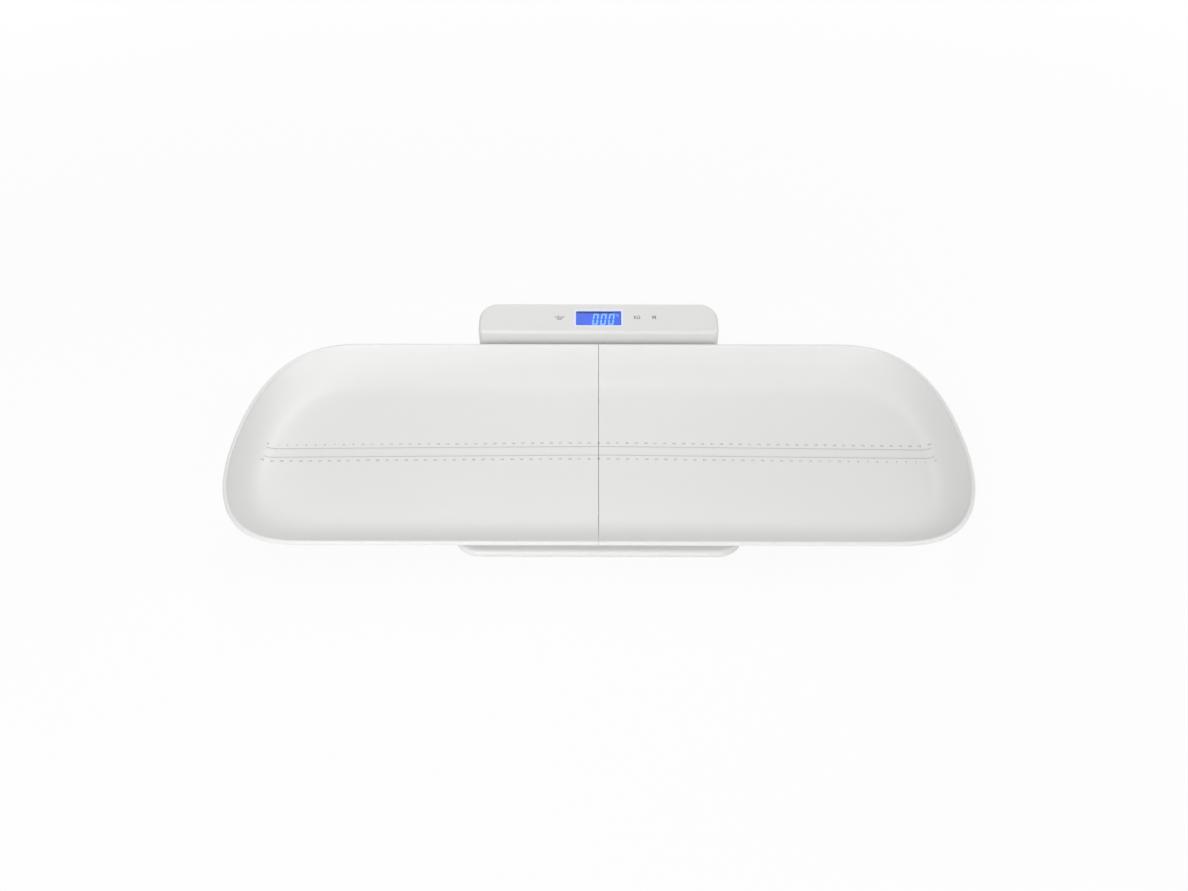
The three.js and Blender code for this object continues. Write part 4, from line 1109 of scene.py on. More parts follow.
    def surface(self, x: float, y: float) -> float:
        """Gives the height of the tray's inside.

        Args:
            x: Place along the tray.
            y: Place across it, from its middle.

        Returns:
            The height there.
        """
        z, far = FLOOR_TOP, abs(x) - self.straight
        end = self.half_length - self.straight
        if far > 0:
            low, high, side_share = self.rim_width, end - 1e-6, 0.0
            for _ in range(24):
                inset = (low + high) / 2
                end_share = (far / (end - inset)) ** self.end_fullness
                side_share = (abs(y) / (self.half_depth - inset)) ** self.corner_fullness
                low, high = (inset, high) if end_share + side_share < 1 else (low, inset)
            width, curve = self.slope_at(side_share)
            down = min(max((low - self.rim_width) / width, 0.0), 1.0)
            z += (RIM_TOP - self.rim_width / 2 - FLOOR_TOP) * (1 - down) ** curve
        return z - self.fall * abs(x) * (RIM_TOP - z) / (RIM_TOP - FLOOR_TOP)


@dataclass
class Ruler:
    """The double centimetre ruler printed along the tray's floor.

    Args:
        tray: The tray that it is printed on.
    """

    tray: Tray
    span: int = 70
    upper_line: float = 6.2 * MM
    lower_line: float = -8.1 * MM
    upper_text: float = 11.9 * MM
    lower_text: float = -14.0 * MM
    text_size: float = 3.7 * MM
    line_width: float = 0.28 * MM
    line_steps: int = 70
    print_height: float = 0.08 * MM
    print_lift: float = 0.02 * MM
    tick_width: float = 0.1 * MM
    ticks_long: tuple[float, float, float] = (1.6 * MM, 2.4 * MM, 3.4 * MM)

    def laid(self, piece: bpy.types.Object) -> bpy.types.Object:
        """Lets a flat print follow the floor and the end walls.

        Args:
            piece: The print, drawn at z = 0.

        Returns:
            The piece.
        """
        for vertex in piece.data.vertices:
            vertex.co.z += self.tray.surface(vertex.co.x, vertex.co.y - TRAY_Y) + self.print_lift
        return piece

    def ticks(self, side: Side, upper: bool, name: str) -> bpy.types.Object:
        """Makes the millimetre ticks of one row on one half.

        Args:
            side: Which half.
            upper: Whether it is the rear row.
            name: The piece's name.

        Returns:
            The ticks' piece.
        """
        half = self.span * 5
        short, middle, long = self.ticks_long
        sizes = {
            "Count": half,
            "First": 0 if side is Side.LEFT else half + 1,
            "Pitch": MM,
            "Width": self.tick_width,
            "Height": self.print_height,
            "Short": short,
            "Middle": middle,
            "Long": long,
        }
        start = -half * MM if side is Side.LEFT else MM
        line, flip = (self.upper_line, -1) if upper else (self.lower_line, 1)

        def place(p: Vector) -> Point:
            """Takes a tick's point to the row."""
            return p.x + start, TRAY_Y + line + flip * p.y, p.z

        return self.laid(grown(name, BAR_TREE, FAINT_INK, sizes, place=place))

    def line(self, side: Side, upper: bool, name: str) -> bpy.types.Object:
        """Makes one row's base line on one half, in short steps that can follow the end wall.

        Args:
            side: Which half.
            upper: Whether it is the rear row.
            name: The piece's name.

        Returns:
            The line's piece.
        """
        start, end = side.span(self.tray.seam, self.span * 5 * MM)
        line = TRAY_Y + (self.upper_line if upper else self.lower_line)
        front, rear = about(line, self.line_width / 2)
        low, high = about(0.0, self.print_height / 2)
        xs = [start + (end - start) * i / self.line_steps for i in range(self.line_steps + 1)]
        rings = [[(x, front, low), (x, rear, low), (x, rear, high), (x, front, high)] for x in xs]
        return self.laid(Shape().loft(rings).piece(name))

    def numbers(self, side: Side, upper: bool, name: str) -> bpy.types.Object:
        """Makes the numbers of one row on one half, each centred on its centimetre.

        Args:
            side: Which half.
            upper: Whether it is the rear row, which counts from the left.
            name: The piece's name.

        Returns:
            The numbers' piece.
        """
        shape = Shape()
        middle = self.span // 2
        y = TRAY_Y + (self.upper_text if upper else self.lower_text)
        for number in range(self.span + 1):
            x = (number - middle) * 10 * MM * (1 if upper else -1)
            if x * side.value < 0:
                continue
            put = lettering(str(number), self.text_size, self.print_height).shifted(x, y)
            shape.joined(put if number != middle else clipped(put, side, self.tray.seam))
        return self.laid(thing(name, shape.raw(name)))

    def build(self) -> None:
        """Builds and dresses the ruler."""
        made = {
            "ticks": (self.ticks, FAINT_INK),
            "line": (self.line, INK),
            "numbers": (self.numbers, FAINT_INK),
        }
        for side in Side:
            for row in ("rear", "front"):
                for word, (make, finish) in made.items():
                    piece = make(side, row == "rear", f"ruler_{word}_{row}_{side.word}")
                    dress(piece, finish, f"tray_{side.word}")


def clipped(shape: Shape, side: Side, gap: float) -> Shape:
    """Keeps the part of a print that lies on one side of the seam, closed at the cut.

    Args:
        shape: The print.
        side: Which half of the tray.
        gap: How far the half stays from the middle.

    Returns:
        The part on that half.
    """
    mesh = shape.raw("clip")
    with opened(mesh) as worked:
        cut = bmesh.ops.bisect_plane(
            worked,
            geom=worked.verts[:] + worked.edges[:] + worked.faces[:],
            plane_co=(side.value * gap, 0, 0),
            plane_no=(-side.value, 0, 0),
            clear_outer=True,
        )
        edges = [g for g in cut["geom_cut"] if isinstance(g, bmesh.types.BMEdge)]
        bmesh.ops.holes_fill(worked, edges=edges, sides=0)
        bmesh.ops.recalc_face_normals(worked, faces=worked.faces)
    return Shape.taken(mesh)


# Platform and housing


@dataclass
class Base:
    """The thin round-nosed platform, the tub under it and what they hold."""

    half_width: float = 138.5 * MM
    front: float = -141 * MM
    back: float = 204.5 * MM
    console_front: float = 165.5 * MM
    front_corner: float = 26 * MM
    rear_corner: float = 21 * MM
    nose: float = 4.2 * MM
    nose_wall: float = 2.2 * MM
    nose_steps: int = 20
    flange: float = 4 * MM
    bottom: float = 5 * MM
    tub_rim: float = 15.7 * MM
    tub_slope: float = 11 * MM
    channel_start: float = 19.7 * MM
    channel_low: float = 17.5 * MM
    channel_walls: Span = (18.2 * MM, 134.3 * MM)
    rib_offsets: Span = (125 * MM, 47.75 * MM)
    rib_reach: float = 105 * MM
    post: float = 4.5 * MM
    post_foot: float = 10.5 * MM
    pilot: Span = (4 * MM, 16.1 * MM)
    foot_x: float = 98 * MM
    foot_y: Span = (-100 * MM, 163.5 * MM)
    screw_x: float = 48 * MM
    screw_y: Span = (-100 * MM, 180.2 * MM)
    screw_head: float = 2.8 * MM
    foot_hole: float = 16 * MM
    door_half: float = 16.8 * MM
    door_rear: float = 24.65 * MM
    door_lip: float = 3 * MM
    tab_half: float = 6.3 * MM
    hinge_y: float = 23.05 * MM
    hinge_z: float = 6.5 * MM
    pin_radius: float = 1.1 * MM
    pin_half: float = 18.8 * MM

    def plan(self, inset: float) -> Plan:
        """Returns the platform's plan outline, in the frame, pulled in by an inset."""
        y = (self.front + TRAY_Y, self.back + TRAY_Y)
        return rounded(about(0.0, self.half_width), y, self.front_corner, self.rear_corner, inset)

    def places(self, x: float, y: Span) -> list[tuple[float, float]]:
        """Returns the four places that CORNERS names, for an offset along X and two along Y."""
        return [(across, row + TRAY_Y) for row in y for across in about(0.0, x)]

    def cover(self) -> bpy.types.Object:
        """Builds the platform's cover with its nose, channel walls, ribs and screw posts.

        Returns:
            The cover's piece.
        """
        centre = DECK_TOP - self.nose
        turns = [math.pi / 2 + math.pi * i / self.nose_steps for i in range(self.nose_steps + 1)]
        outside = [(self.nose * (1 + math.cos(t)), centre + self.nose * math.sin(t)) for t in turns]
        inner = self.nose - self.nose_wall
        lower = DECK_TOP - 2 * self.nose
        turns = turns[: self.nose_steps // 2 - 1 : -1]
        turned = [(self.nose + inner * math.cos(t), centre + inner * math.sin(t)) for t in turns]
        inside = [(inset, min(z, DECK_UNDER)) for inset, z in turned] + [(self.nose, DECK_UNDER)]
        edge = self.nose + self.flange
        section = [*outside, (edge, lower), (edge, lower + self.nose_wall), *inside, (edge, DECK_UNDER)]
        rings = [level(self.plan(inset), z) for inset, z in reversed(section)]
        piece = Shape().loft(rings).piece("platform_shell")
        joined = DECK_UNDER + FIT
        extras, cuts = Shape(), Shape()
        for side in Side:
            for y in about(TRAY_Y, RAIL_OFFSET):
                extras.box(side.span(*self.channel_walls), about(y, 8 * MM), (16 * MM, joined))
                reach = side.span(self.channel_start, self.half_width + 6 * MM)
                cuts.box(reach, about(y, 2.5 * MM), (self.channel_low, DECK_TOP + 6 * MM))
                cuts.box(reach, about(y, 6.5 * MM), (self.channel_low, DECK_UNDER))
        for offset in self.rib_offsets:
            for y in about(TRAY_Y, offset):
                extras.box(about(0.0, self.rib_reach), about(y, 0.75 * MM), (17 * MM, joined))
        cuts.box((-0.3, 0.3), (TRAY_Y + self.console_front - 0.15 * MM, 0.3), (0.0, 0.1))
        for x, y in self.places(self.screw_x, self.screw_y)[:2]:
            extras.disc(self.post, (self.post_foot, joined), x, y)
            cuts.disc(PILOT, self.pilot, x, y)
        carve(piece, extras, "UNION")
        carve(piece, cuts)
        return soften(piece, 0.3 * MM, angle=50)

    def tub(self) -> bpy.types.Object:
        """Builds the housing under the platform, with its foot, door and screw openings.

        Returns:
            The tub's piece.
        """
        inset = self.nose + self.flange + FIT
        low, bend, under, rim = self.bottom, 7 * MM, 14.6 * MM, self.tub_rim
        outer = [(inset + self.tub_slope, low), (inset + 9 * MM, bend), (inset, under), (inset, rim)]
        wall = inset + self.nose_wall
        inner = [(wall, rim), (wall, under), (inset + self.tub_slope, 8 * MM)]
        piece = Shape().loft([level(self.plan(i), z) for i, z in [*outer, *inner]]).piece("housing_shell")
        bosses, cuts = Shape(), Shape()
        through = 8.3 * MM
        for x, y in self.places(self.screw_x, self.screw_y):
            bosses.disc(self.post, mm(5.3, 10.2), x, y)
            cuts.disc(self.screw_head, (0.0, 8.6 * MM), x, y)
            cuts.disc(PILOT, (0.0, 16 * MM), x, y)
        for x, y in self.places(self.foot_x, self.foot_y):
            cuts.disc(self.foot_hole, (0.0, through), x, y, COARSE)
        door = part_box("battery_door")[0].y - FIT
        rear = TRAY_Y + self.door_rear
        cuts.box(about(0.0, self.door_half), (door + self.door_lip, rear), (0.0, through))
        cuts.box(about(0.0, self.tab_half), (door, TRAY_Y), (0.0, through))
        carve(piece, bosses, "UNION")
        carve(piece, cuts)
        pin = Shape().disc(self.pin_radius, about(0.0, self.pin_half), steps=FINE)
        carve(piece, pin.moved(lambda p: (p[2], p[0] + TRAY_Y + self.hinge_y, p[1] + self.hinge_z)))
        return soften(piece, 0.3 * MM, angle=50)

    def foot_pads(self) -> None:
        """Builds the four rubber pads, each turned with two grooves, and their grip bars."""
        profile = [
            (4.0, 0.5), (5.5, 0.5), (5.5, 0.0), (8.2, 0.0), (8.2, 0.5), (9.4, 0.5),
            (9.4, 0.0), (13.4, 0.0), (13.8, 0.15), (14.0, 0.5), (14.0, 1.7), (13.8, 2.0),
        ]  # fmt: skip
        radius, length, width, height = mm(2.4, 2.6, 0.5, 0.6)
        sizes = {"Count": 12, "Radius": radius, "Length": length, "Width": width, "Height": height}
        for corner, (x, y) in zip(CORNERS, self.places(self.foot_x, self.foot_y)):
            node = f"foot_pad_{corner}"
            dress(Shape().lathe(profile, x, y).piece(node + "_turned"), PAD, "base", node)
            middle = Vector((x, y, 0.4 * MM))
            grip = grown(f"foot_grip_{corner}", RING_TREE, PAD, sizes, place=lambda p, at=middle: p + at)
            dress(grip, PAD)

    def deck_pads(self) -> None:
        """Builds the two rubber strips that the tray's ribs rest on."""
        section = ((0.6, 0.0), (0.15, 0.12), (0.0, 0.4), (0.0, 0.8), (0.3, 1.1), (0.9, 1.2))
        corner, steps = 4.9 * MM, 10
        for node in ("deck_pad_front", "deck_pad_rear"):
            low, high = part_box(node)
            x, y = (low.x, high.x), (low.y, high.y)
            rings = [
                level(rounded(x, y, corner, corner, inset * MM, steps), low.z + z * MM)
                for inset, z in section
            ]
            dress(Shape().loft(rings).piece(node + "_moulded"), PAD, "base", node)

    def screws(self) -> None:
        """Builds the housing's screws with crossed recesses in their heads."""
        wide, narrow, deep = mm(1.4, 0.28, 0.75)
        for corner, (x, y) in zip(CORNERS, self.places(self.screw_x, self.screw_y)):
            node = f"housing_screw_{corner}"
            recess = Shape()
            for along, across in ((wide, narrow), (narrow, wide)):
                recess.box(about(x, along), about(y, across), (0.0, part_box(node)[0].z + deep))
            dress(carve(copied(node, node + "_driven"), recess), STEEL, "base", node)

    def build(self) -> None:
        """Builds and dresses the base."""
        dress(self.cover(), WHITE, "base", "platform_cover")
        dress(self.tub(), WHITE, "base", "lower_housing")
        self.foot_pads()
        self.deck_pads()
        self.screws()


# Console


@dataclass
class Console:
    """The raised rear console with its inclined face, window, keys and prints.

    Args:
        base: The platform that it stands on.
    """

    base: Base
    ridge: float = 69.19 * MM
    tilt: float = 20.0
    wall: float = 2.5 * MM
    edge: float = 4 * MM
    front_corner: float = 6 * MM
    foot: float = 14.6 * MM
    hollow_foot: float = 16.8 * MM
    corner_steps: int = 18
    edge_steps: int = 12
    window: Span = (54 * MM, 21 * MM)
    window_up: float = 20.2 * MM
    window_foot: float = 1.1 * MM
    window_steps: int = 8
    glass: Span = (30 * MM, 12.5 * MM)
    glass_top: float = -2.8 * MM
    post_top: float = 23.7 * MM
    web_foot: float = 16.3 * MM
    web_rear: float = 2.2 * MM
    stand: float = 2.8 * MM
    stand_reach: Span = (-10.7 * MM, -2.2 * MM)
    stands: tuple[Span, ...] = ((-60.6 * MM, 9 * MM), (80.3 * MM, -9 * MM))
    key_radius: float = 6.5 * MM
    key_gap: float = 0.03 * MM
    print_height: float = 0.03 * MM
    print_lift: float = 0.01 * MM
    keys: tuple[tuple[str, float], ...] = (("tare", -44.6 * MM), ("unit", 44.6 * MM), ("hold", 64.3 * MM))

    def on_face(self, p: Point) -> Point:
        """Takes a point on the inclined face into the frame.

        Args:
            p: Its place along the face, up its slope and out of it.

        Returns:
            Its place in the frame.
        """
        turn = math.radians(self.tilt)
        y = self.base.console_front + p[1] * math.cos(turn) - p[2] * math.sin(turn)
        z = self.ridge + p[1] * math.sin(turn) + p[2] * math.cos(turn)
        return p[0], y + TRAY_Y, z

    def put(self, shape: Shape, name: str) -> bpy.types.Object:
        """Makes a piece of a shape that is laid out on the face."""
        return shape.moved(self.on_face).piece(name)

    def block(self, inset: float, drop: float, bottom: float, radius: float) -> Shape:
        """Lays out a rounded block whose top leans with the face.

        Args:
            inset: How far its sides are pulled in.
            drop: How far its top lies under the face.
            bottom: Its lowest height.
            radius: How far its top edge is rounded.

        Returns:
            The block's shape.
        """
        lean = math.tan(math.radians(self.tilt))
        front = self.base.console_front
        x, y = about(0.0, self.base.half_width), (front + TRAY_Y, self.base.back + TRAY_Y)

        def plan(pulled: float) -> Plan:
            """Returns the block's outline, pulled in."""
            return rounded(x, y, self.front_corner, self.base.rear_corner, pulled, self.corner_steps)

        rings = [level(plan(inset), bottom)]
        for i in range(self.edge_steps + 1):
            turn = math.pi / 2 * i / self.edge_steps
            z = self.ridge - drop - radius * (1 - math.sin(turn))
            outline = plan(inset + radius * (1 - math.cos(turn)))
            rings.append([(px, py, z + (py - TRAY_Y - front) * lean) for px, py in outline])
        return Shape().loft(rings)

    def cover(self) -> bpy.types.Object:
        """Builds the console's cover with its window, key holes and posts.

        Returns:
            The cover's piece.
        """
        base = self.base
        piece = self.block(0.0, 0.0, self.foot, self.edge).piece("console_shell")
        drop = self.wall / math.cos(math.radians(self.tilt))
        cuts = self.block(self.wall, drop, self.hollow_foot, 1.5 * MM)
        edge = base.nose + base.flange
        cuts.slab(base.plan(edge), (0.0, 17.1 * MM))
        front = base.console_front + TRAY_Y + 19.5 * MM
        cuts.box(about(0.0, base.half_width - edge), (0.0, front), (0.0, DECK_UNDER))
        carve(piece, cuts)
        through = mm(-6, 6)
        face_cuts = Shape().slab(self.window_plan(0.0, 1.2), through)
        face_cuts.slab(self.window_plan(1.8, 1.0), mm(-6, -1.2))
        for _, x in self.keys:
            face_cuts.disc(self.key_radius + FIT, through, x, self.window_up, COARSE)
        carve(piece, face_cuts.moved(self.on_face))
        posts, pilots, stands = Shape(), Shape(), Shape()
        rear = base.back + TRAY_Y - self.web_rear
        for x, y in base.places(base.screw_x, base.screw_y)[2:]:
            across = about(x, base.post)
            posts.box(across, about(y, base.post), (base.post_foot, self.post_top))
            posts.box(across, (y, rear), (self.web_foot, self.post_top))
            pilots.disc(PILOT, base.pilot, x, y, FINE)
        for x, up in self.stands:
            stands.disc(self.stand, self.stand_reach, x, self.window_up + up, 32)
        carve(piece, posts.joined(stands.moved(self.on_face)), "UNION")
        carve(piece, pilots)
        return soften(piece, 0.25 * MM, angle=48)

    def window_plan(self, lap: float, corner: float) -> Plan:
        """Draws the window's outline on the face, let out by a lap.

        Args:
            lap: How far it is let out, in millimetres.
            corner: The radius of its corners, in millimetres.

        Returns:
            The outline.
        """
        lap, corner = mm(lap, corner)
        x, y = self.window[0] / 2 + lap, self.window[1] / 2 + lap
        up = (self.window_up - y - self.window_foot, self.window_up + y)
        return rounded((-x, x), up, corner, corner, 0.0, self.window_steps)

    def bezel(self) -> None:
        """Builds the thin pale edge that lines the window's opening, with a painted pale blue glow."""
        loops = (
            (-0.05, 1.15, -1.42), (-0.05, 1.15, 0.0), (1.1, 2.2, 0.0),
            (0.4, 1.6, 0.12), (-0.75, 0.6, -0.35), (-0.75, 0.6, -1.42),
        )  # fmt: skip
        rings = [level(self.window_plan(lap, corner), z * MM) for lap, corner, z in loops]
        dress(self.put(Shape().loft(rings, capped=False), "window_bezel"), BEZEL_GLOW)

    def display(self) -> None:
        """Builds the window, the lit glass behind it, its digits and a dark sheet of painted shade along the
        glass's top and sides.
        """
        up = self.window_up
        pane = Shape().slab(self.window_plan(1.5, 1.0), mm(-2.5, -1.5))
        dress(self.put(pane, "display_pane"), LENS, "base", "display_window")
        x, y = self.glass
        glass = Shape().box(about(0.0, x), about(up, y), (self.glass_top - 2 * MM, self.glass_top))
        dress(soften(self.put(glass, "display_field"), 0.15 * MM), FIELD, "base", "display_glass")
        # Dark strips along the glass's top and sides paint the shade of the window's recess.
        margin = Shape()
        strips = (((-27, 16.5), (7.6, 10.6)), ((16.5, 27), (9.4, 10.6)))
        edges = (((-27.4, -26.2), (-11.7, 10.6)), ((26.2, 27.4), (-11.7, 10.6)))
        for across, along in strips + edges:
            y = tuple(up + place for place in mm(*along))
            margin.box(mm(*across), y, (self.glass_top, self.glass_top + 0.1 * MM))
        dress(self.put(margin, "display_margin"), RECESS_SHADE)
        digits = Shape()
        for x in mm(-3.6, 5.6, 14.8):
            digits.joined(self.zero(x, up - 8.9 * MM))
        unit = lettering("kg", 3.6 * MM, 0.08 * MM)
        digits.joined(unit.shifted(21.6 * MM, up + 5.2 * MM, -2.62 * MM))
        dress(self.put(digits, "display_digits"), DIGIT)

    def zero(self, x: float, up: float) -> Shape:
        """Lays out a leaning seven-segment nought.

        Args:
            x: Middle of the digit along the face.
            up: Its lowest point up the face.

        Returns:
            Its six segments.
        """
        wide, tall, thick, gap = mm(6.4, 15.8, 1.7, 0.2)
        left, right = about(x, wide / 2)
        half, lean = tall / 2, 0.12
        shape = Shape()

        def bar(corners: Plan) -> None:
            """Adds one segment, leaning."""
            ring = [(px + (py - half) * lean, up + py) for px, py in corners]
            shape.slab(ring, mm(-2.66, -2.58))

        lower = (gap, half - gap, thick, thick / 2)
        upper = (half + gap, tall - gap, thick / 2, thick)
        for foot, head, foot_cut, head_cut in (lower, upper):
            low, high = foot + foot_cut, head - head_cut
            bar([(left, foot), (left + thick, low), (left + thick, high), (left, head)])
            bar([(right - thick, low), (right, foot), (right, head), (right - thick, high)])
        left, right = left + gap, right - gap
        bar([(left, 0.0), (right, 0.0), (right - thick, thick), (left + thick, thick)])
        bar([(left + thick, tall - thick), (right - thick, tall - thick), (right, tall), (left, tall)])
        return shape

    def key_caps(self) -> None:
        """Builds the three flush keys with their plungers and switches."""
        radius = (self.key_radius + FIT - self.key_gap) / MM
        profile = [
            (2.0, -6.3), (2.0, -4.0), (7.6, -4.0), (7.6, -2.8), (radius, -2.8),
            (radius, -0.03), (radius - 0.03, 0.0),
        ]  # fmt: skip
        for name, x in self.keys:
            turned = Shape().lathe(profile, x, self.window_up, COARSE)
            dress(self.put(turned, f"key_cap_{name}"), SHADED_KEY, f"{name}_key", f"key_{name}")
            refined(f"switch_plunger_{name}", BLACK, 0.15, f"{name}_key")
            refined(f"switch_body_{name}", STEEL, 0.15)

    def prints(self) -> None:
        """Builds the marks printed on the keys: a tray under a load, a unit and a letter."""
        pan = [
            (-5.6, 1.9), (-3.6, -0.9), (-1.4, -1.9), (1.4, -1.9), (3.6, -0.9), (5.6, 1.9),
            (4.7, 1.9), (3.1, -0.2), (1.2, -1.1), (-1.2, -1.1), (-3.1, -0.2), (-4.7, 1.9),
        ]  # fmt: skip
        foot = [(-2.9, -3.2), (2.9, -3.2), (2.9, -2.5), (-2.9, -2.5)]
        back = [(-0.2, 0.0), (3.2, 0.4), (3.2, 1.2), (-0.2, 0.9)]
        letter = [
            (-2.05, -2.0), (-1.0, -2.0), (-1.0, 0.75), (0.0, -1.3), (1.0, 0.75), (1.0, -2.0),
            (2.05, -2.0), (2.05, 2.4), (0.95, 2.4), (0.0, 0.45), (-0.95, 2.4), (-2.05, 2.4),
        ]  # fmt: skip

        def printed(*outlines: Plan) -> Shape:
            """Lays out flat marks.

            Args:
                outlines: Their outlines, in millimetres.

            Returns:
                Their shape.
            """
            shape = Shape()
            for outline in outlines:
                shape.slab([mm(*point) for point in outline], (0.0, self.print_height))
            return shape

        marks = {
            "tare": (printed(pan, foot, circle(1.0, 16, -1.5, 1.1), back), 0.6 * MM, 1.0),
            "unit": (lettering("KG", 5.6 * MM, self.print_height, 0.12 * MM), 0.0, 1.15),
            "hold": (printed(letter), 0.0, 1.15),
        }
        for name, x in self.keys:
            mark, left, tall = marks[name]
            raised = mark.moved(lambda p: (p[0], p[1] * tall, p[2]))
            put = raised.shifted(x - left, self.window_up, self.print_lift)
            dress(self.put(put, f"key_print_{name}"), INK, f"{name}_key")

    def build(self) -> None:
        """Builds and dresses the console."""
        # The cover takes the darker white of painted shade.
        dress(self.cover(), CONSOLE_SHADED_WHITE, "base", "console_cover")
        self.bezel()
        self.display()
        self.key_caps()
        self.prints()


# Battery door and what stays out of sight


@dataclass
class BatteryDoor:
    """The hinged door under the housing, with a row of grip ridges."""

    ridges: int = 5
    pitch: float = 2.2 * MM
    ridge: Point = (9 * MM, 0.8 * MM, 0.6 * MM)
    first: float = 5 * MM

    def build(self) -> None:
        """Builds and dresses the door."""
        refined("battery_door", WHITE, 0.3, "battery_door")
        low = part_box("battery_door")[0]
        length, width, height = self.ridge
        lengths = dict.fromkeys(("Short", "Middle", "Long"), length)
        sizes = {"Count": self.ridges, "First": 1, "Pitch": self.pitch, "Width": width, "Height": height}

        def place(p: Vector) -> Point:
            """Takes a ridge's point to the door's underside."""
            return p.y - length / 2, low.y + self.first + p.x, low.z + p.z

        grip = grown("battery_door_grip", BAR_TREE, WHITE, sizes | lengths, place=place)
        dress(grip, WHITE, "battery_door")


@dataclass
class Inside:
    """The pieces inside the scale, which keep their shapes and get their finishes."""

    softened: dict[str, Finish] = field(
        default_factory=lambda: {
            "battery_box": INNER,
            "circuit_board": LAMINATE,
            "controller_chip": BLACK,
            "lead_connector": INNER,
            "wireless_module": TIN,
            "display_frame": BLACK,
            "contact_rear_single": TIN,
            "contact_front_pair": TIN,
            "contact_rear_pair": TIN,
            "contact_front_single": TIN,
            "battery_1": CELL,
            "battery_2": CELL,
            "battery_3": CELL,
        }
    )
    kept: dict[str, Finish] = field(
        default_factory=lambda: {
            "display_backlight": LAMP,
            "contact_strip_front": STRIP,
            "contact_strip_rear": STRIP,
            "board_screw_left": STEEL,
            "board_screw_right": STEEL,
            "wiring_harness": SLEEVE,
        }
    )

    def build(self) -> None:
        """Dresses every node that nothing stands for yet."""
        for node, finish in self.softened.items():
            refined(node, finish, 0.2)
        for corner in CORNERS:
            refined(f"foot_cup_{corner}", INNER, 0.4)
            refined(f"load_cell_{corner}", STEEL, 0.15)
            refined(f"load_cell_holder_{corner}", INNER, 0.3)
        for node, finish in self.kept.items():
            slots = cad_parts[node].data.materials
            slots.clear()
            slots.append(finish.material())
            LOG.info("%s keeps its node", node)


# Stage


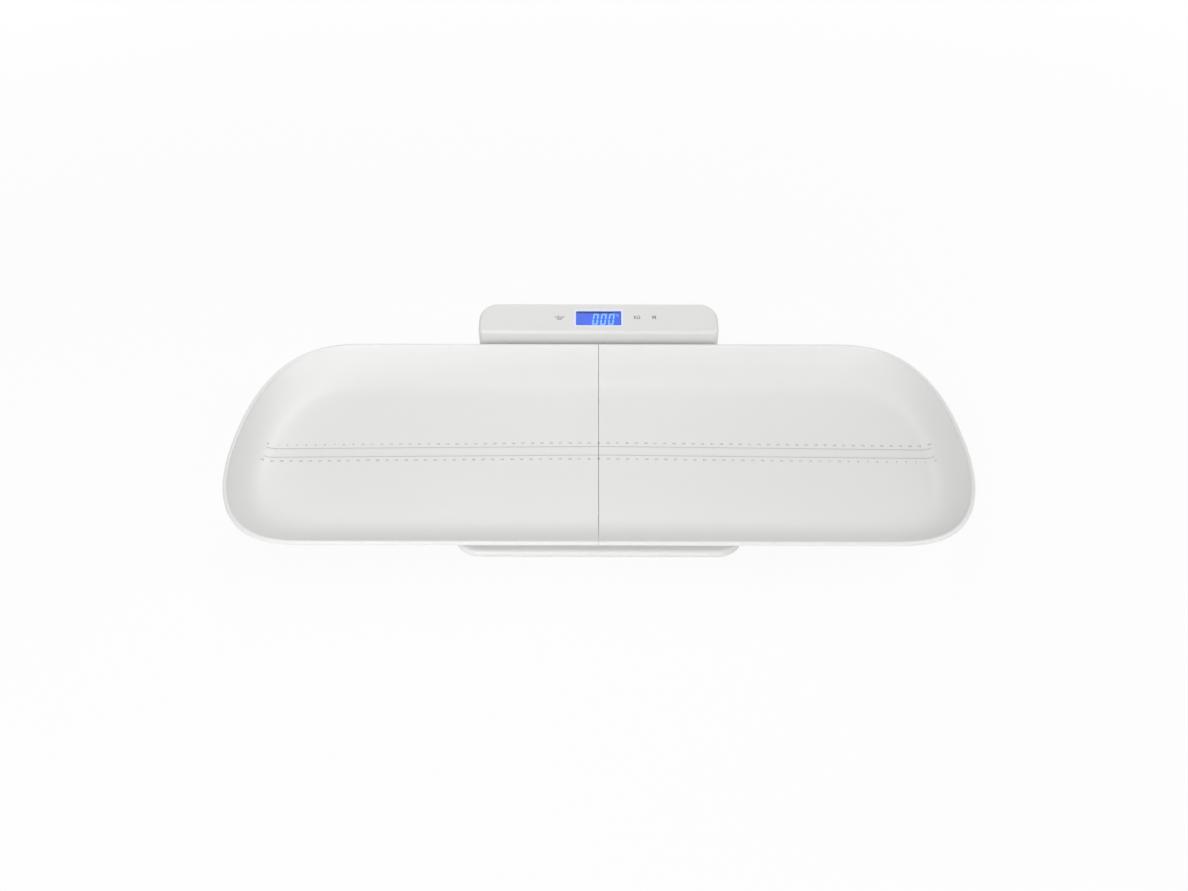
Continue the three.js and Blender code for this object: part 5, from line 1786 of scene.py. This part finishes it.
@dataclass
class Studio:
    """The floor, the lights and the camera."""

    target: Point = (-4.8 * MM, 7.5 * MM, 31 * MM)
    distance: float = 1.0797
    elevation: float = 40.0
    yaw: float = -0.17
    lens: float = 31.03
    surround: float = 0.1
    reach: float = 8.0
    lamps: dict[str, tuple[Point, Span, float]] = field(
        default_factory=lambda: {
            "overhead_front": ((0.0, -1.75, 1.45), (1.6, 0.7), 7.3),
            "overhead_back": ((0.0, 1.3, 1.6), (1.2, 1.2), 10.4),
            "overhead_left": ((-0.5, -0.2, 0.95), (0.8, 0.8), 2.6),
            "front_left": ((-0.8, -1.9, 1.2), (0.8, 0.7), 16.9),
            "back_left": ((-0.5, 1.4, 1.4), (0.8, 0.8), 1.0),
            "low_front_fill": ((0.0, -2.6, 0.3), (2.4, 0.5), 11.6),
            "right_fill": ((1.6, -0.2, 1.1), (1.0, 1.6), 13.0),
        }
    )

    def floor(self) -> None:
        """Lays the pale floor, white to the camera apart from the scale's shadow near by."""
        made = bpy.data.materials.new("studio_floor")
        wiring = emptied(made)
        place = wiring.add("ShaderNodeTexCoord").outputs["Object"]
        away = wiring.add("ShaderNodeVectorMath", {0: place}, operation="LENGTH").outputs["Value"]
        fade = wiring.ranged(away, (0.5, 2.0), (0.92, 1.0))
        share = wiring.sum("MULTIPLY", wiring.seen(), fade)
        paper = wiring.put("ShaderNodeBsdfDiffuse", {"Color": (0.9, 0.9, 0.9, 1)})
        white = wiring.put("ShaderNodeEmission", {"Color": (1, 1, 1, 1), "Strength": 1.0})
        mixed = wiring.put("ShaderNodeMixShader", {0: share, 1: paper, 2: white})
        wiring.add("ShaderNodeOutputMaterial", {"Surface": mixed})
        left, right = about(0.0, self.reach)
        corners = [(left, left, 0), (right, left, 0), (right, right, 0), (left, right, 0)]
        floor = Shape().add(corners, [(0, 1, 2, 3)]).piece("studio_floor")
        floor.data.materials.append(made)

    def world(self) -> None:
        """Sets an even grey surround that is white to the camera."""
        world = bpy.context.scene.world = bpy.data.worlds.new("surround")
        wiring = emptied(world)
        lift = wiring.sum("MULTIPLY", wiring.seen(), 1 - self.surround)
        strength = wiring.sum("ADD", self.surround, lift)
        shade = wiring.put("ShaderNodeBackground", {"Color": (1, 1, 1, 1), "Strength": strength})
        wiring.add("ShaderNodeOutputWorld", {"Surface": shade})

    def lamp(self, name: str, place: Point, size: Span, power: float) -> None:
        """Hangs a soft rectangular light that faces the scale.

        Args:
            name: The light's name.
            place: Where it hangs.
            size: Its width and height.
            power: Its power in watts.
        """
        light = bpy.data.lights.new(name, "AREA")
        light.shape, light.size, light.size_y, light.energy = "RECTANGLE", *size, power
        holder = thing(name, light)
        holder.location = place
        holder.rotation_euler = (Vector((0, 0, 0.03)) - Vector(place)).to_track_quat("-Z", "Y").to_euler()

    def camera(self) -> None:
        """Sets the camera at the photograph's place and angle."""
        lens = bpy.data.cameras.new("camera")
        lens.lens, lens.sensor_width, lens.sensor_fit = self.lens, 36.0, "HORIZONTAL"
        lens.clip_start, lens.clip_end = 0.05, 50.0
        camera = thing("camera", lens)
        rise, turn = math.radians(self.elevation), math.radians(self.yaw)
        across = self.target[0]
        ahead = self.target[1] - self.distance * math.cos(rise)
        x = math.cos(turn) * across + math.sin(turn) * ahead
        y = math.cos(turn) * ahead - math.sin(turn) * across
        camera.location = (x, y + TRAY_Y, self.target[2] + self.distance * math.sin(rise))
        camera.rotation_euler = (math.pi / 2 - rise, 0.0, -turn)
        bpy.context.scene.camera = camera

    def build(self) -> None:
        """Builds the stage."""
        bpy.context.scene.view_settings.view_transform = "Standard"
        self.world()
        self.floor()
        for name, (place, size, power) in self.lamps.items():
            self.lamp(name, place, size, power)
        self.camera()


def main() -> None:
    """Builds the scale's sub-assemblies in order, then its stage."""
    logging.basicConfig(level=logging.INFO, format="%(message)s")
    tray, base = Tray(), Base()
    parts = [tray, Ruler(tray), base, Console(base), BatteryDoor(), Inside(), Studio()]
    for part in parts:
        LOG.info("building %s", type(part).__name__)
        part.build()


if __name__ == "__main__":
    main()
